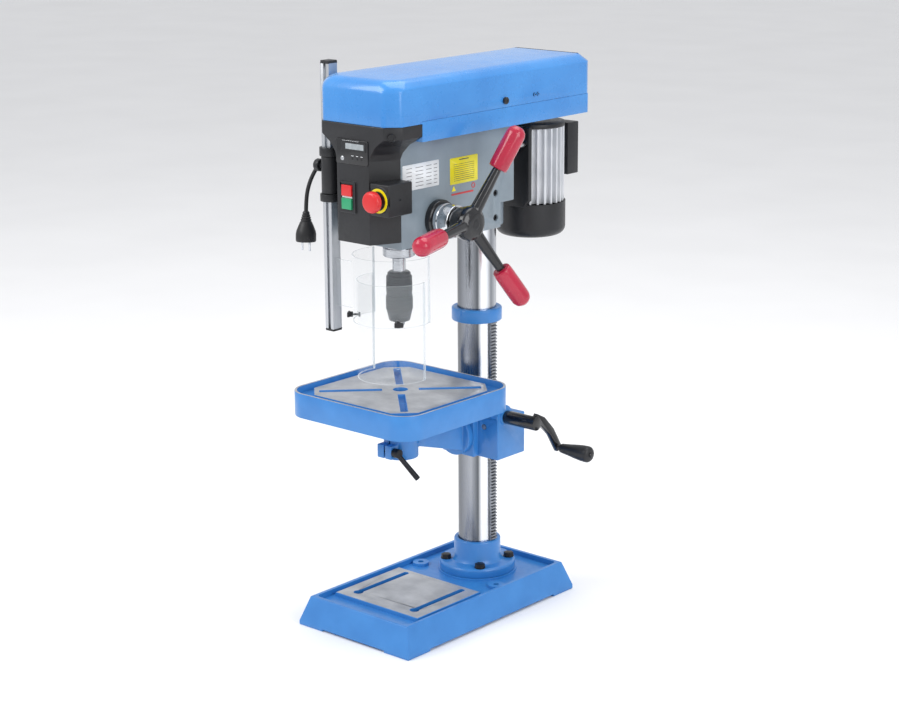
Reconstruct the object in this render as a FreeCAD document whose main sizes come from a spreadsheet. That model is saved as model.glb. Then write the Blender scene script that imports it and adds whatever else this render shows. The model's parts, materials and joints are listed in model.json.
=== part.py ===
import FreeCAD, Part
import math
import os
import re
import Sketcher

# Bench drill press, about 1050 mm tall, in millimetres.
# Origin: on the bench, midway between the two holes that bolt the base down.
# +Z is up, -Y is the operator's side, +X is the side of the feed handle.

doc = FreeCAD.newDocument("DrillPress")
sheet = doc.addObject("Spreadsheet::Sheet", "Dims")

SIZES = {
    # column, and the places that the machine is laid out from (y is measured from the column's axis)
    "column_y": 58, "throat": 216, "column_d": 73, "column_wall": 4, "column_foot": 56, "column_top": 918,
    "fit_gap": 0.1, "free_gap": 0.3,
    # base casting
    "base_width": 276, "base_front": -354, "base_back": 126, "base_height": 56, "base_lip": 8,
    "base_inset": 16, "base_wall": 9, "base_rim": 8, "deck_drop": 10, "bench_span": 192, "bench_hole": 11,
    "bench_boss": 32, "pad_width": 208, "pad_front": -291, "pad_back": -113, "pad_lift": 8,
    "base_slot_span": 142, "base_slot_front": -268, "base_slot_back": -124, "base_slot_width": 12,
    "base_key_d": 18, "foot_long": 60, "foot_tall": 4,
    # column flange and its four bolts
    "flange_collar_d": "=column_d + 17", "flange_pcd": "=flange_collar_d + 32",
    "flange_d": "=flange_pcd + 24",
    "flange_seat_d": "=flange_d + 6", "flange_thick": 18, "flange_top": 112, "flange_bolt_d": 10,
    "bolt_head_af": 17, "bolt_head_tall": 6.5, "washer_d": 21,
    "washer_thick": 2,
    # rack and its upper collar
    "rack_width": 15, "rack_back": 3, "gear_module": 2, "rack_add": 1.5, "rack_foot": 113, "rack_top": 561,
    "collar_d": "=column_d + 22", "collar_low": 546, "collar_high": 571,
    # lift bracket, gears and crank
    "bracket_low": 292, "bracket_high": 372, "bracket_d": "=column_d + 31", "lift_teeth": 12, "lift_z": 352,
    "worm_drop": 22, "worm_y": -22, "worm_d": 16, "worm_lead": 12.566, "lift_axle_d": 10,
    "box_right": "=column_d / 2 + 51.5", "crank_x": "=box_right + 4",
    "box_front": -44, "box_back": 36, "crank_shaft_d": 12, "crank_hub_d": 26, "crank_hub_long": 73,
    "crank_reach": 92, "crank_grip_long": 70, "crank_grip_d": 31,
    # tilting arm and table
    "tilt_z": 332, "tilt_face_y": -56, "tilt_d": 78, "tilt_bolt_d": 14, "tilt_stud_long": 50,
    "arm_hub_d": 64, "arm_hub_low": 326,
    "table_side": 300, "table_high": 457, "table_deep": 46, "table_corner": 45, "table_wall": 9,
    "trough_width": 17, "trough_drop": 9, "plate_drop": 4, "table_hole": 27, "table_slot": 13,
    "table_slot_in": 34, "table_slot_out": 148, "table_stem_d": 42, "table_stem_low": 330,
    # head casting
    "head_half": 62, "head_front": -276, "head_back": 34, "head_low": 730, "head_high": 922, "head_wall": 8,
    "quill_boss_d": 78, "column_boss_d": "=column_d + 27",
    # quill, spindle, chuck
    "quill_d": 50, "quill_low": 703, "quill_high": 884, "quill_nose_d": 58, "quill_nose": 15,
    "quill_rack_width": 9,
    "spindle_d": 20, "spindle_neck_d": 24, "spindle_top": 1014, "spline_d": 16, "bearing_d": 42,
    "bearing_tall": 12, "chuck_top": 675, "chuck_split": 634, "chuck_low": 584, "chuck_body_d": 47,
    "chuck_sleeve_d": 49, "jaw_low": 570, "jaw_long": 44, "jaw_thick": 6,
    "jaw_deep": 9.6, "chuck_core_d": 32,
    # feed shaft and handle
    "feed_z": 773, "feed_teeth": 13, "feed_shaft_d": 18, "ring_seat_d": 70, "ring_seat_wide": 12,
    "depth_ring_d": 60, "depth_ring_wide": 34, "hub_d": 58, "hub_wide": 44, "handle_reach": 192,
    "handle_lean": 14, "grip_long": 84, "grip_d": 36, "spring_cap_d": 74, "spring_cap_wide": 24,
    # belt cover
    "tray_front": -255, "cover_back": 225, "cover_half": 95, "tray_low": 922.3, "parting": 958,
    "tray_wall": 3, "lid_front": -330, "lid_shoulder": 1019, "lid_high": 1033, "lid_wall": 2.5,
    "lid_bevel": 13, "nose_chamfer": 23, "tail_chamfer": 12, "lid_lip": 954,
    # pulleys and belts
    "idler_y": -56, "pulley_low": 966, "pulley_step": 13, "pulley_steps": 4, "spindle_pulley_r": 58,
    "idler_pulley_r": 34, "motor_pulley_r": 46, "step_drop": 8, "groove_deep": 8, "belt_thick": 6,
    "belt_wide": 7, "sleeve_d": 28, "idler_post_d": 14,
    # black front cover and its controls
    "front_y": -332, "front_half": 38.5, "brow_half": 73, "cover_low": 744, "brow_low": 891,
    "brow_high": 932, "cover_wall": 3, "panel_low": 884, "panel_high": 927, "panel_half": 38,
    "switch_x": -11.5, "switch_wide": 29, "switch_low": 801, "switch_high": 849.5, "switch_travel": 2.5,
    "stop_box_x": 67, "stop_box_z": 828, "stop_box_wide": 44, "stop_box_tall": 57, "stop_box_front": -337,
    "stop_ring_d": 46, "stop_head_d": 38, "stop_head_long": 25, "stop_travel": 5,
    # motor
    "motor_y": 160, "motor_r": 64, "motor_low": 752, "motor_high": 896, "bell_low": 687, "bell_r": 67,
    "fin_count": 28, "fin_deep": 10, "fin_wide": 4, "plate_front": 82, "plate_thick": 10,
    "rod_d": 12, "rod_x": "=column_d / 2 + 9.5", "plate_half": "=rod_x + 12", "rod_z": 872,
    "terminal_half": 42, "terminal_low": 796, "terminal_back": 254,
    "motor_shaft_d": 14,
    # guard
    "rail_x": -112, "rail_y": -272, "rail_wide": 20, "rail_deep": 22, "rail_low": 562, "rail_high": 1046,
    "sleeve_low": 812, "sleeve_high": 880, "swivel_d": 34, "ear_low": 798, "ear_high": 896,
    "shield_x": -9, "shield_y": -224, "shield_r": 73, "shield_wall": 3, "shield_high": 707,
    "shield_low": 585, "lower_r": 66, "lower_high": 660, "lower_low": 479,
    # mains cord
    "cord_d": 7.5, "gland_d": 14, "gland_long": 22, "cord_y": -222, "cord_z": 893,
}
for row, (alias, amount) in enumerate(SIZES.items(), start=1):
    sheet.set("A%d" % row, alias)
    sheet.set("B%d" % row, str(amount))
    sheet.setAlias("B%d" % row, alias)
doc.recompute()

X, Y, Z = FreeCAD.Vector(1, 0, 0), FreeCAD.Vector(0, 1, 0), FreeCAD.Vector(0, 0, 1)
# A shape drawn in local XY and grown along local Z is turned so that it grows this way.
GROWS = {
    "up": FreeCAD.Rotation(),
    "down": FreeCAD.Rotation(X, -Y, -Z, "ZXY"),
    "right": FreeCAD.Rotation(Y, Z, X, "ZXY"),
    "left": FreeCAD.Rotation(-Y, Z, -X, "ZXY"),
    "front": FreeCAD.Rotation(X, Z, -Y, "ZXY"),
    "back": FreeCAD.Rotation(-X, Z, Y, "ZXY"),
}
# A profile of radius and length, turned about local Y, has its axis laid this way.
TURNS = {
    "up": FreeCAD.Rotation(X, Z, -Y, "ZXY"),
    "down": FreeCAD.Rotation(X, -Z, Y, "ZXY"),
    "right": FreeCAD.Rotation(-Y, X, Z, "ZXY"),
    "left": FreeCAD.Rotation(Y, -X, Z, "ZXY"),
    "front": FreeCAD.Rotation(-X, -Y, Z, "ZXY"),
    "back": FreeCAD.Rotation(X, Y, Z, "ZXY"),
}
NODES = []
counter = 0


def bound(expression):
    """Point every size named in an expression at its cell of the sheet."""
    return re.sub(r"[a-z][a-z0-9_]*", lambda word: "Dims." + word[0] if word[0] in SIZES else word[0],
                  str(expression))


def value(expression):
    """The number that an expression gives now."""
    return float(sheet.evalExpression(bound(expression)))


def fresh(stem):
    global counter
    counter += 1
    return "%s_%03d" % (stem, counter)


def place(thing, at, rotation=None):
    """Set the turn of a thing and bind its place to the sheet."""
    thing.Placement = FreeCAD.Placement(FreeCAD.Vector(*[value(part) for part in at]),
                                        rotation or FreeCAD.Rotation())
    for letter, part in zip("xyz", at):
        thing.setExpression("Placement.Base." + letter, bound(part))
    return thing


def node(thing, label):
    """Name a finished sub-part."""
    thing.Label = label
    NODES.append(thing)
    return thing


def box(size, at):
    """A block by its length, width and height, and its lowest corner."""
    block = doc.addObject("Part::Box", fresh("box"))
    for name, part in zip(("Length", "Width", "Height"), size):
        block.setExpression(name, bound(part))
    return place(block, at)


def rod(diameter, length, at, way="up"):
    """A round bar from the centre of its first face."""
    bar = doc.addObject("Part::Cylinder", fresh("rod"))
    bar.setExpression("Radius", bound("(%s) / 2" % diameter))
    bar.setExpression("Height", bound(length))
    return place(bar, at, GROWS[way])


def taper(first, last, length, at, way="up"):
    """A round bar that goes from one diameter to another."""
    bar = doc.addObject("Part::Cone", fresh("taper"))
    bar.setExpression("Radius1", bound("(%s) / 2" % first))
    bar.setExpression("Radius2", bound("(%s) / 2" % last))
    bar.setExpression("Height", bound(length))
    return place(bar, at, GROWS[way])


def fuse(*parts):
    if len(parts) == 1:
        return parts[0]
    joined = doc.addObject("Part::MultiFuse", fresh("fuse"))
    joined.Shapes = list(parts)
    joined.Refine = True
    return joined


def cut(base, *tools):
    left = doc.addObject("Part::Cut", fresh("cut"))
    left.Base = base
    left.Tool = fuse(*tools)
    left.Refine = True
    return left


def group(*parts):
    """Separate solids that share one node."""
    together = doc.addObject("Part::Compound", fresh("group"))
    together.Links = list(parts)
    return together


def turned(thing, rotation, at):
    """A copy of a made shape, turned about the origin and then moved."""
    holder = doc.addObject("Part::Compound", fresh("turned"))
    holder.Links = [thing]
    return place(holder, at, rotation)


def outline(body, points, lift=0):
    """A closed sketch through points whose places are bound to the sheet."""
    drawing = body.newObject("Sketcher::SketchObject", fresh("sketch"))
    plane = [feature for feature in body.Origin.OriginFeatures if feature.Role == "XY_Plane"][0]
    drawing.AttachmentSupport = [(plane, "")]
    drawing.MapMode = "FlatFace"
    drawing.setExpression("AttachmentOffset.Base.z", bound(lift))
    spots = [(value(across), value(along)) for across, along in points]
    for index, spot in enumerate(spots):
        after = spots[(index + 1) % len(spots)]
        drawing.addGeometry(Part.LineSegment(FreeCAD.Vector(*spot, 0), FreeCAD.Vector(*after, 0)), False)
    for index, spot in enumerate(spots):
        drawing.addConstraint(Sketcher.Constraint("Coincident", index, 2, (index + 1) % len(spots), 1))
        for kind, now, part in zip(("DistanceX", "DistanceY"), spot, points[index]):
            place_in_list = drawing.addConstraint(Sketcher.Constraint(kind, -1, 1, index, 1, now))
            drawing.setExpression("Constraints[%d]" % place_in_list, bound(part))
    return drawing


def prism(points, length, at, way="up", round_edges=None):
    """A body padded from an outline; round_edges rounds the edges that run along the pad."""
    body = doc.addObject("PartDesign::Body", fresh("body"))
    pad = body.newObject("PartDesign::Pad", fresh("pad"))
    pad.Profile = outline(body, points)
    pad.setExpression("Length", bound(length))
    if round_edges:
        doc.recompute()
        grown = value(length)
        names = ["Edge%d" % (number + 1) for number, edge in enumerate(pad.Shape.Edges)
                 if edge.BoundBox.ZLength > 0.99 * grown]
        fillet = body.newObject("PartDesign::Fillet", fresh("fillet"))
        fillet.Base = (pad, names)
        fillet.setExpression("Radius", bound(round_edges))
    return place(body, at, GROWS[way])


def spun(points, at, way="up"):
    """A body turned from a half profile of (radius, length) points."""
    body = doc.addObject("PartDesign::Body", fresh("body"))
    turn = body.newObject("PartDesign::Revolution", fresh("revolution"))
    drawing = outline(body, points)
    turn.Profile = drawing
    turn.ReferenceAxis = (drawing, ["V_Axis"])
    turn.Angle = 360
    return place(body, at, TURNS[way])


def loft(sections, at, way="up"):
    """A body through outlines of equal point count, each at its own height."""
    body = doc.addObject("PartDesign::Body", fresh("body"))
    drawings = [outline(body, points, lift) for lift, points in sections]
    skin = body.newObject("PartDesign::AdditiveLoft", fresh("loft"))
    skin.Profile = drawings[0]
    skin.Sections = drawings[1:]
    skin.Ruled = True
    return place(body, at, GROWS[way])


def rectangle(left, right, low, high):
    return [(left, low), (right, low), (right, high), (left, high)]


def shaped(shape, at=(0, 0, 0), rotation=None):
    """A shape that no feature makes, computed from the sheet's sizes."""
    holder = doc.addObject("Part::Feature", fresh("shape"))
    holder.Shape = shape
    return place(holder, at, rotation)


def involute_gear(teeth, module, thickness, backlash, addendum=1.0, dedendum=1.0):
    """A spur gear about local Z, its first tooth on local X."""
    pitch_r = teeth * module / 2
    base_r = pitch_r * math.cos(math.radians(20))
    tip_r = pitch_r + addendum * module
    root_r = pitch_r - dedendum * module
    steps = 6

    def spread(radius):
        lean = math.acos(min(1.0, base_r / radius))
        return math.tan(lean) - lean

    half_pitch = (math.pi * module / 2 - backlash) / 2 / pitch_r
    edges = []
    for tooth in range(teeth):
        middle = 2 * math.pi * tooth / teeth
        start_r = max(base_r, root_r)
        flank = []
        for step in range(steps + 1):
            radius = start_r + (tip_r - start_r) * step / steps
            flank.append((radius, half_pitch + spread(pitch_r) - spread(radius)))
        if root_r < base_r:
            flank.insert(0, (root_r, flank[0][1]))
        left = [(radius, middle - angle) for radius, angle in flank]
        right = [(radius, middle + angle) for radius, angle in reversed(flank)]
        edges += left + right
    corners = [FreeCAD.Vector(radius * math.cos(angle), radius * math.sin(angle), 0)
               for radius, angle in edges]
    return Part.Face(Part.makePolygon(corners + corners[:1])).extrude(FreeCAD.Vector(0, 0, thickness))


def rack_bar(length, width, back, module, addendum, backlash, phase):
    """A rack along local Z, teeth towards local X, its pitch line at x = 0."""
    pitch = math.pi * module
    lean = math.tan(math.radians(20))
    root = -1.2 * module
    half = pitch / 4 - backlash / 2
    corners = [(root - back, 0), (root, 0)]
    centre = (phase % pitch) if (phase % pitch) > half * 2 else (phase % pitch) + pitch
    while centre + half * 2 < length:
        corners += [(root, centre - half + root * lean), (addendum, centre - half + addendum * lean),
                    (addendum, centre + half - addendum * lean), (root, centre + half - root * lean)]
        centre += pitch
    corners += [(root, length), (root - back, length)]
    spots = [FreeCAD.Vector(across, -width / 2, up) for across, up in corners]
    return Part.Face(Part.makePolygon(spots + spots[:1])).extrude(FreeCAD.Vector(0, width, 0))


# ---------------------------------------------------------------- places used by many pieces
COLUMN = ("0", "column_y")
SPINDLE_Y = "column_y - throat"
FEED_Y = "column_y - throat + quill_d / 2 - gear_module + feed_teeth * gear_module / 2"
TOOTH_PLAY = 0.3
WHEEL_WIDE, WHEEL_PLAY = 6, 1.4
WORM_LONG, WORM_END = 24, 2
RACK_PITCH_X = "column_d / 2 + free_gap + rack_back + 1.2 * gear_module"
LIFT_X = RACK_PITCH_X + " + lift_teeth * gear_module / 2"


# ---------------------------------------------------------------- base
def make_base():
    middle = "(base_front + base_back) / 2 + column_y"
    half_x, half_y = "base_width / 2", "(base_back - base_front) / 2"
    low = rectangle("-(%s)" % half_x, half_x, "-(%s)" % half_y, half_y)
    top_x, top_y = half_x + " - base_inset", half_y + " - base_inset"
    top = rectangle("-(%s)" % top_x, top_x, "-(%s)" % top_y, top_y)
    plinth = loft([("0", low), ("base_lip", low), ("base_height", top)], ("0", middle, "0"))
    well_x, well_y = top_x + " - base_rim", top_y + " - base_rim"
    well = prism(rectangle("-(%s)" % well_x, well_x, "-(%s)" % well_y, well_y), "deck_drop + 1",
                 ("0", middle, "base_height - deck_drop"), round_edges="base_rim")
    under_x, under_y = half_x + " - base_inset - base_wall", half_y + " - base_inset - base_wall"
    under = rectangle("-(%s)" % under_x, under_x, "-(%s)" % under_y, under_y)
    hollow = prism(under, "base_height - deck_drop - base_wall + 1", ("0", middle, "-1"),
                   round_edges="base_rim")
    pad = box(("pad_width", "pad_back - pad_front", "pad_lift + base_wall / 2"),
              ("-pad_width / 2", "column_y + pad_front", "base_height - deck_drop - base_wall / 2"))
    seat = rod("flange_seat_d", "column_foot - 6 - (base_height - deck_drop - base_wall)",
               ("0", "column_y", "base_height - deck_drop - base_wall"))
    bosses = [rod("bench_boss", "base_height - 4", ("bench_span / 2 * %d" % side, "0",
                                                    "0")) for side in (-1, 1)]
    reliefs = [box(("base_width - 2 * foot_long", "base_back - base_front + 2", "foot_tall + 1"),
                   ("-base_width / 2 + foot_long", "column_y + base_front - 1", "-1")),
               box(("base_width + 2", "base_back - base_front - 2 * foot_long", "foot_tall + 1"),
                   ("-base_width / 2 - 1", "column_y + base_front + foot_long", "-1"))]
    casting = fuse(cut(plinth, well, hollow, *reliefs), pad, seat, *bosses)
    holes = [rod("bench_hole", "base_height + 2", ("bench_span / 2 * %d" % side, "0", "-1"))
             for side in (-1, 1)]
    slots = []
    for side in (-1, 1):
        across = "base_slot_span / 2 * %d" % side
        slots.append(box(("base_slot_width", "base_slot_back - base_slot_front - base_slot_width",
                          "base_height + 4"),
                         (across + " - base_slot_width / 2",
                          "column_y + base_slot_front + base_slot_width / 2", "0")))
        for end in ("base_slot_front + base_slot_width / 2", "base_slot_back - base_slot_width / 2"):
            slots.append(rod("base_slot_width", "base_height + 4", (across, "column_y + " + end, "0")))
        slots.append(rod("base_key_d", "base_height + 4",
                         (across, "column_y + base_slot_front + base_slot_width / 2", "0")))
    reach = "flange_pcd / 2 * sqrt(0.5)"
    threads = [rod("flange_bolt_d + 2 * fit_gap", "base_height",
                   ("%s * %d" % (reach, side), "column_y + %s * %d" % (reach, end), "base_wall"))
               for side in (-1, 1) for end in (-1, 1)]
    return node(cut(casting, *holes, *slots, *threads), "base")


def make_column_flange():
    bore = "column_d / 2 + fit_gap"
    low = "column_foot - 6"
    profile = [("column_d / 2 - column_wall", "0"), ("flange_d / 2", "0"),
               ("flange_d / 2", "flange_thick - 3"),
               ("flange_d / 2 - 3", "flange_thick"), ("flange_collar_d / 2 + 4", "flange_thick"),
               ("flange_collar_d / 2", "flange_thick + 8"),
               ("flange_collar_d / 2", "flange_top - column_foot + 4"),
               ("flange_collar_d / 2 - 2", "flange_top - column_foot + 6"),
               (bore, "flange_top - column_foot + 6"), (bore, "6"), ("column_d / 2 - column_wall", "6")]
    ring = spun(profile, ("0", "column_y", low))
    reach = "flange_pcd / 2 * sqrt(0.5)"
    holes = [rod("flange_bolt_d + 2 * fit_gap", "flange_thick + 2",
                 ("%s * %d" % (reach, side), "column_y + %s * %d" % (reach, end), low + " - 1"))
             for side in (-1, 1) for end in (-1, 1)]
    return node(cut(ring, *holes), "column_flange")


def hex_head(across_flats, height, at, way="up"):
    radius = "(%s) / 2 / cos(30)" % across_flats
    corners = [("%s * cos(%d)" % (radius, angle), "%s * sin(%d)" % (radius, angle))
               for angle in range(30, 390, 60)]
    return prism(corners, height, at, way)


def make_flange_bolts():
    reach = "flange_pcd / 2 * sqrt(0.5)"
    seat = "column_foot - 6 + flange_thick"
    bolts = []
    for side in (-1, 1):
        for end in (-1, 1):
            across, along = "%s * %d" % (reach, side), "column_y + %s * %d" % (reach, end)
            bolts.append(fuse(rod("flange_bolt_d", "flange_thick + 20 + washer_thick",
                                  (across, along, seat + " - flange_thick - 20")),
                              rod("washer_d", "washer_thick", (across, along, seat)),
                              hex_head("bolt_head_af", "bolt_head_tall",
                                       (across, along, seat + " + washer_thick"))))
    return node(group(*bolts), "flange_bolts")


def make_column():
    inner, outer = "column_d / 2 - column_wall", "column_d / 2"
    profile = [(inner, "0"), (outer, "0"), (outer, "column_top - column_foot"),
               (inner, "column_top - column_foot")]
    return node(spun(profile, ("0", "column_y", "column_foot")), "column")


def make_rack():
    length = value("rack_top - rack_foot")
    phase = value("lift_z - rack_foot + pi * gear_module / 2")
    bar = shaped(rack_bar(length, value("rack_width"), value("rack_back"), value("gear_module"),
                          value("rack_add"), 0.3, phase),
                 (RACK_PITCH_X, "column_y", "rack_foot"))
    return node(bar, "rack")


def make_rack_collar():
    outer, bore = "collar_d / 2", "column_d / 2 + fit_gap"
    reach = "(%s + rack_add)" % RACK_PITCH_X
    track = "sqrt(%s * %s + rack_width * rack_width / 4) + free_gap" % (reach, reach)
    tall, lip = "collar_high - collar_low", "rack_top - collar_low"
    ring = spun([(track, "0"), (outer + " - 1", "0"), (outer, "2"), (outer, tall + " - 2"),
                 (outer + " - 2", tall),
                 (bore, tall), (bore, lip + " + free_gap"), (track, lip + " + free_gap")],
                ("0", "column_y", "collar_low"))
    screw = rod("7", "collar_d / 2 - column_d / 2 + 1.5 - fit_gap", ("0", "column_y - collar_d / 2 - 1.5",
                                                                  "collar_high - 5"), "back")
    return node(cut(fuse(ring, screw), rod("column_d + 2 * fit_gap", "600", ("0", "column_y", "0"))),
                "rack_collar")


# ---------------------------------------------------------------- lift bracket, gears and crank
def make_lift_bracket():
    tall = "bracket_high - bracket_low"
    sleeve = rod("bracket_d", tall, ("0", "column_y", "bracket_low"))
    gear_box = box(("box_right", "box_back - box_front", "bracket_high - bracket_low"),
                   ("0", "column_y + box_front", "bracket_low"))
    neck = box(("tilt_d", "-tilt_face_y", tall), ("-tilt_d / 2", "column_y + tilt_face_y", "bracket_low"))
    tilt_face = rod("tilt_d", "20", ("0", "column_y + tilt_face_y + 20", "tilt_z"), "front")
    worm_boss = rod("crank_shaft_d + 20", "crank_x - box_right + 1",
                    ("box_right - 1", "column_y + worm_y", "lift_z + worm_drop"), "right")
    solid = fuse(sleeve, gear_box, neck, worm_boss, hump_cap())
    bore = rod("column_d + 2 * free_gap", "bracket_high", ("0", "column_y", "bracket_low - 40"))
    rack_way = box((RACK_PITCH_X + " + rack_add + 2 * free_gap", "rack_width + 4 * free_gap",
                    "bracket_high"),
                   ("0", "column_y - rack_width / 2 - 2 * free_gap", "bracket_low - 40"))
    gear_room = rod("lift_teeth * gear_module + 2 * gear_module + 3", "rack_width + 36",
                    (LIFT_X, "column_y - rack_width / 2 - 30", "lift_z"), "back")
    worm_room = rod("worm_d + 12", "44", ("box_right - 62", "column_y + worm_y", "lift_z + worm_drop"),
                    "right")
    shaft_way = rod("crank_shaft_d + 2 * fit_gap", "crank_x", ("box_right - 63", "column_y + worm_y",
                                                               "lift_z + worm_drop"), "right")
    axle_way = rod("10 + 2 * fit_gap", "box_back - box_front + 2",
                   (LIFT_X, "column_y + box_front - 1", "lift_z"),
                   "back")
    tilt_stud = rod("tilt_bolt_d", "tilt_stud_long + 10", ("0", "column_y + tilt_face_y + 10", "tilt_z"),
                    "front")
    lock_bore = rod("10 + 2 * fit_gap", "40", ("-bracket_d / 2 - 20", "column_y", "lift_z"), "right")
    lock_boss = rod("24", "bracket_d / 2", ("-bracket_d / 2 - 6", "column_y", "lift_z"), "right")
    return node(cut(fuse(solid, lock_boss, tilt_face, tilt_stud), bore, rack_way, gear_room, worm_room,
                    shaft_way,
                    axle_way, lock_bore), "lift_bracket")


def hump_cap():
    """The rounded housing above the worm."""
    return rod("44", "box_right - 34", ("34", "column_y + worm_y", "lift_z + worm_drop"), "right")


def make_lift_gear():
    module = value("gear_module")
    teeth = int(value("lift_teeth"))
    pinion = involute_gear(teeth, module, value("rack_width"), TOOTH_PLAY)
    pinion.translate(FreeCAD.Vector(0, 0, -value("rack_width") / 2))
    wheel = involute_gear(teeth, module, WHEEL_WIDE, WHEEL_PLAY, addendum=0.6)
    # a tooth of the wheel stands midway between two turns of the worm's thread
    between = -WORM_LONG / 2 + WORM_END + value("worm_lead")
    wheel.rotate(FreeCAD.Vector(), Z, 90 - math.degrees(between / (teeth * module / 2)))
    wheel.translate(FreeCAD.Vector(0, 0, -value("worm_y") - WHEEL_WIDE / 2))
    axle = Part.makeCylinder(value("lift_axle_d") / 2, value("box_back - box_front"),
                             FreeCAD.Vector(0, 0, -value("box_back")))
    gear = pinion.fuse([wheel, axle]).removeSplitter()
    return node(shaped(gear, (LIFT_X, "column_y", "lift_z"), FreeCAD.Rotation(X, Z, -Y, "ZXY")),
                "lift_gear")


def make_lift_worm():
    length = WORM_LONG
    radius = value("worm_d") / 2
    lead = value("worm_lead")
    tail = length / 2 + 4
    shaft = Part.makeCylinder(value("crank_shaft_d") / 2,
                              tail + value("crank_x + crank_hub_long - 6") - value(LIFT_X),
                              FreeCAD.Vector(0, 0, -tail))
    core = Part.makeCylinder(radius, length, FreeCAD.Vector(0, 0, -length / 2))
    worm = shaft.fuse(core)
    for start in range(2):
        helix = Part.makeLongHelix(lead, length - 2 * WORM_END, radius)
        profile = Part.makePolygon([FreeCAD.Vector(radius - 0.6, 0, -0.9),
                                    FreeCAD.Vector(radius + 2.2, 0, -0.5),
                                    FreeCAD.Vector(radius + 2.2, 0, 0.5), FreeCAD.Vector(radius - 0.6, 0,
                                                                                         0.9),
                                    FreeCAD.Vector(radius - 0.6, 0, -0.9)])
        thread = Part.Wire(helix.Edges).makePipeShell([profile], True, True)
        thread.translate(FreeCAD.Vector(0, 0, -length / 2 + WORM_END))
        thread.rotate(FreeCAD.Vector(), Z, 180 * start)
        worm = worm.fuse(thread)
    return node(shaped(worm, (LIFT_X, "column_y + worm_y", "lift_z + worm_drop"), GROWS["right"]),
                "lift_worm")


def make_crank():
    hub_at = ("crank_x + free_gap", "column_y + worm_y", "lift_z + worm_drop")
    # the arm leaves the hub towards the back and down, in a shallow S
    hub = rod("crank_hub_d", "crank_hub_long", hub_at, "right")
    points = crank_line()
    left = [(a + " + %s" % dx, b + " + %s" % dz) for a, b, dx, dz in points]
    right = [(a + " - %s" % dx, b + " - %s" % dz) for a, b, dx, dz in reversed(points)]
    arm = prism(left + right, "9", ("crank_x + crank_hub_long - 12", "column_y + worm_y",
                                    "lift_z + worm_drop"),
                "right")
    pin = rod("9", "crank_grip_long + 14", ("crank_x + crank_hub_long - 6",
                                            "column_y + worm_y + crank_reach * 0.74",
                                            "lift_z + worm_drop - crank_reach * 0.67"), "right")
    bore = rod("crank_shaft_d + 2 * fit_gap", "crank_hub_long - 4", hub_at, "right")
    return node(cut(fuse(hub, arm, pin), bore), "crank_arm")


def crank_line():
    """Points of the arm's middle line, each with half its width square to the line."""
    return [("0", "9", "5", "9"), ("crank_reach * 0.25", "-crank_reach * 0.02", "5", "8"),
            ("crank_reach * 0.52", "-crank_reach * 0.28", "6", "5.5"),
            ("crank_reach * 0.74 + 6", "-crank_reach * 0.67 - 6", "8", "2")]


def make_crank_grip():
    radius = "crank_grip_d / 2"
    profile = [("4.6", "0"), ("8", "0"), ("10", "6"), ("11", "14"),
               (radius + " - 2", "crank_grip_long * 0.55"),
               (radius, "crank_grip_long * 0.8"), (radius + " - 1.5", "crank_grip_long * 0.93"),
               (radius + " - 6", "crank_grip_long"), ("4.6", "crank_grip_long")]
    return node(spun(profile, ("crank_x + crank_hub_long + 4", "column_y + worm_y + crank_reach * 0.74",
                               "lift_z + worm_drop - crank_reach * 0.67"), "right"), "crank_grip")


def make_column_lock():
    stem = rod("10", "bracket_d / 2 - column_d / 2 + 20 - free_gap",
               ("-bracket_d / 2 - 20", "column_y", "lift_z"), "right")
    hub = rod("20", "16", ("-bracket_d / 2 - 23", "column_y", "lift_z"), "right")
    lever = taper("11", "9", "62", ("-bracket_d / 2 - 15", "column_y", "lift_z"), "down")
    ball = doc.addObject("Part::Sphere", fresh("ball"))
    ball.setExpression("Radius", "9")
    place(ball, ("-bracket_d / 2 - 15", "column_y", "lift_z - 66"))
    return node(fuse(stem, hub, lever, ball), "column_lock_lever")


# ---------------------------------------------------------------- tilting arm and table
def make_table_arm():
    face = "column_y + tilt_face_y"
    long = "throat + tilt_face_y - free_gap"
    plate = rod("tilt_d", "14", ("0", face + " - free_gap", "tilt_z"), "front")
    low, high = "arm_hub_low", "table_high - table_deep - 2"
    half = "arm_hub_d / 2 - 8"
    web = prism([("0", "arm_hub_low - 24"), ("0", "tilt_z + tilt_d / 2 - 4"), ("46", high), (long, high),
                 (long, "arm_hub_low + 24")], "arm_hub_d - 16", (half, face + " - free_gap", "0"), "left")
    hub = rod("arm_hub_d", "(%s) - (%s)" % (high, low), ("0", SPINDLE_Y, low))
    bore = rod("table_stem_d + 2 * fit_gap", "200", ("0", SPINDLE_Y, low + " - 10"))
    split = box(("3", "arm_hub_d", "42"), ("-1.5", SPINDLE_Y + " - arm_hub_d", low + " - 1"))
    screw_way = rod("10 + 2 * fit_gap", "arm_hub_d", ("-arm_hub_d / 2", SPINDLE_Y + " - arm_hub_d / 2 - 6",
                                                      "arm_hub_low + 18"), "right")
    lugs = box(("34", "22", "26"), ("-17", SPINDLE_Y + " - arm_hub_d / 2 - 14", "arm_hub_low + 5"))
    tilt_bore = rod("tilt_bolt_d + 2 * fit_gap", "tilt_stud_long + 2", ("0", face + " + 1", "tilt_z"),
                    "front")
    return node(cut(fuse(plate, web, hub, lugs), bore, split, screw_way, tilt_bore), "table_arm")


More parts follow.
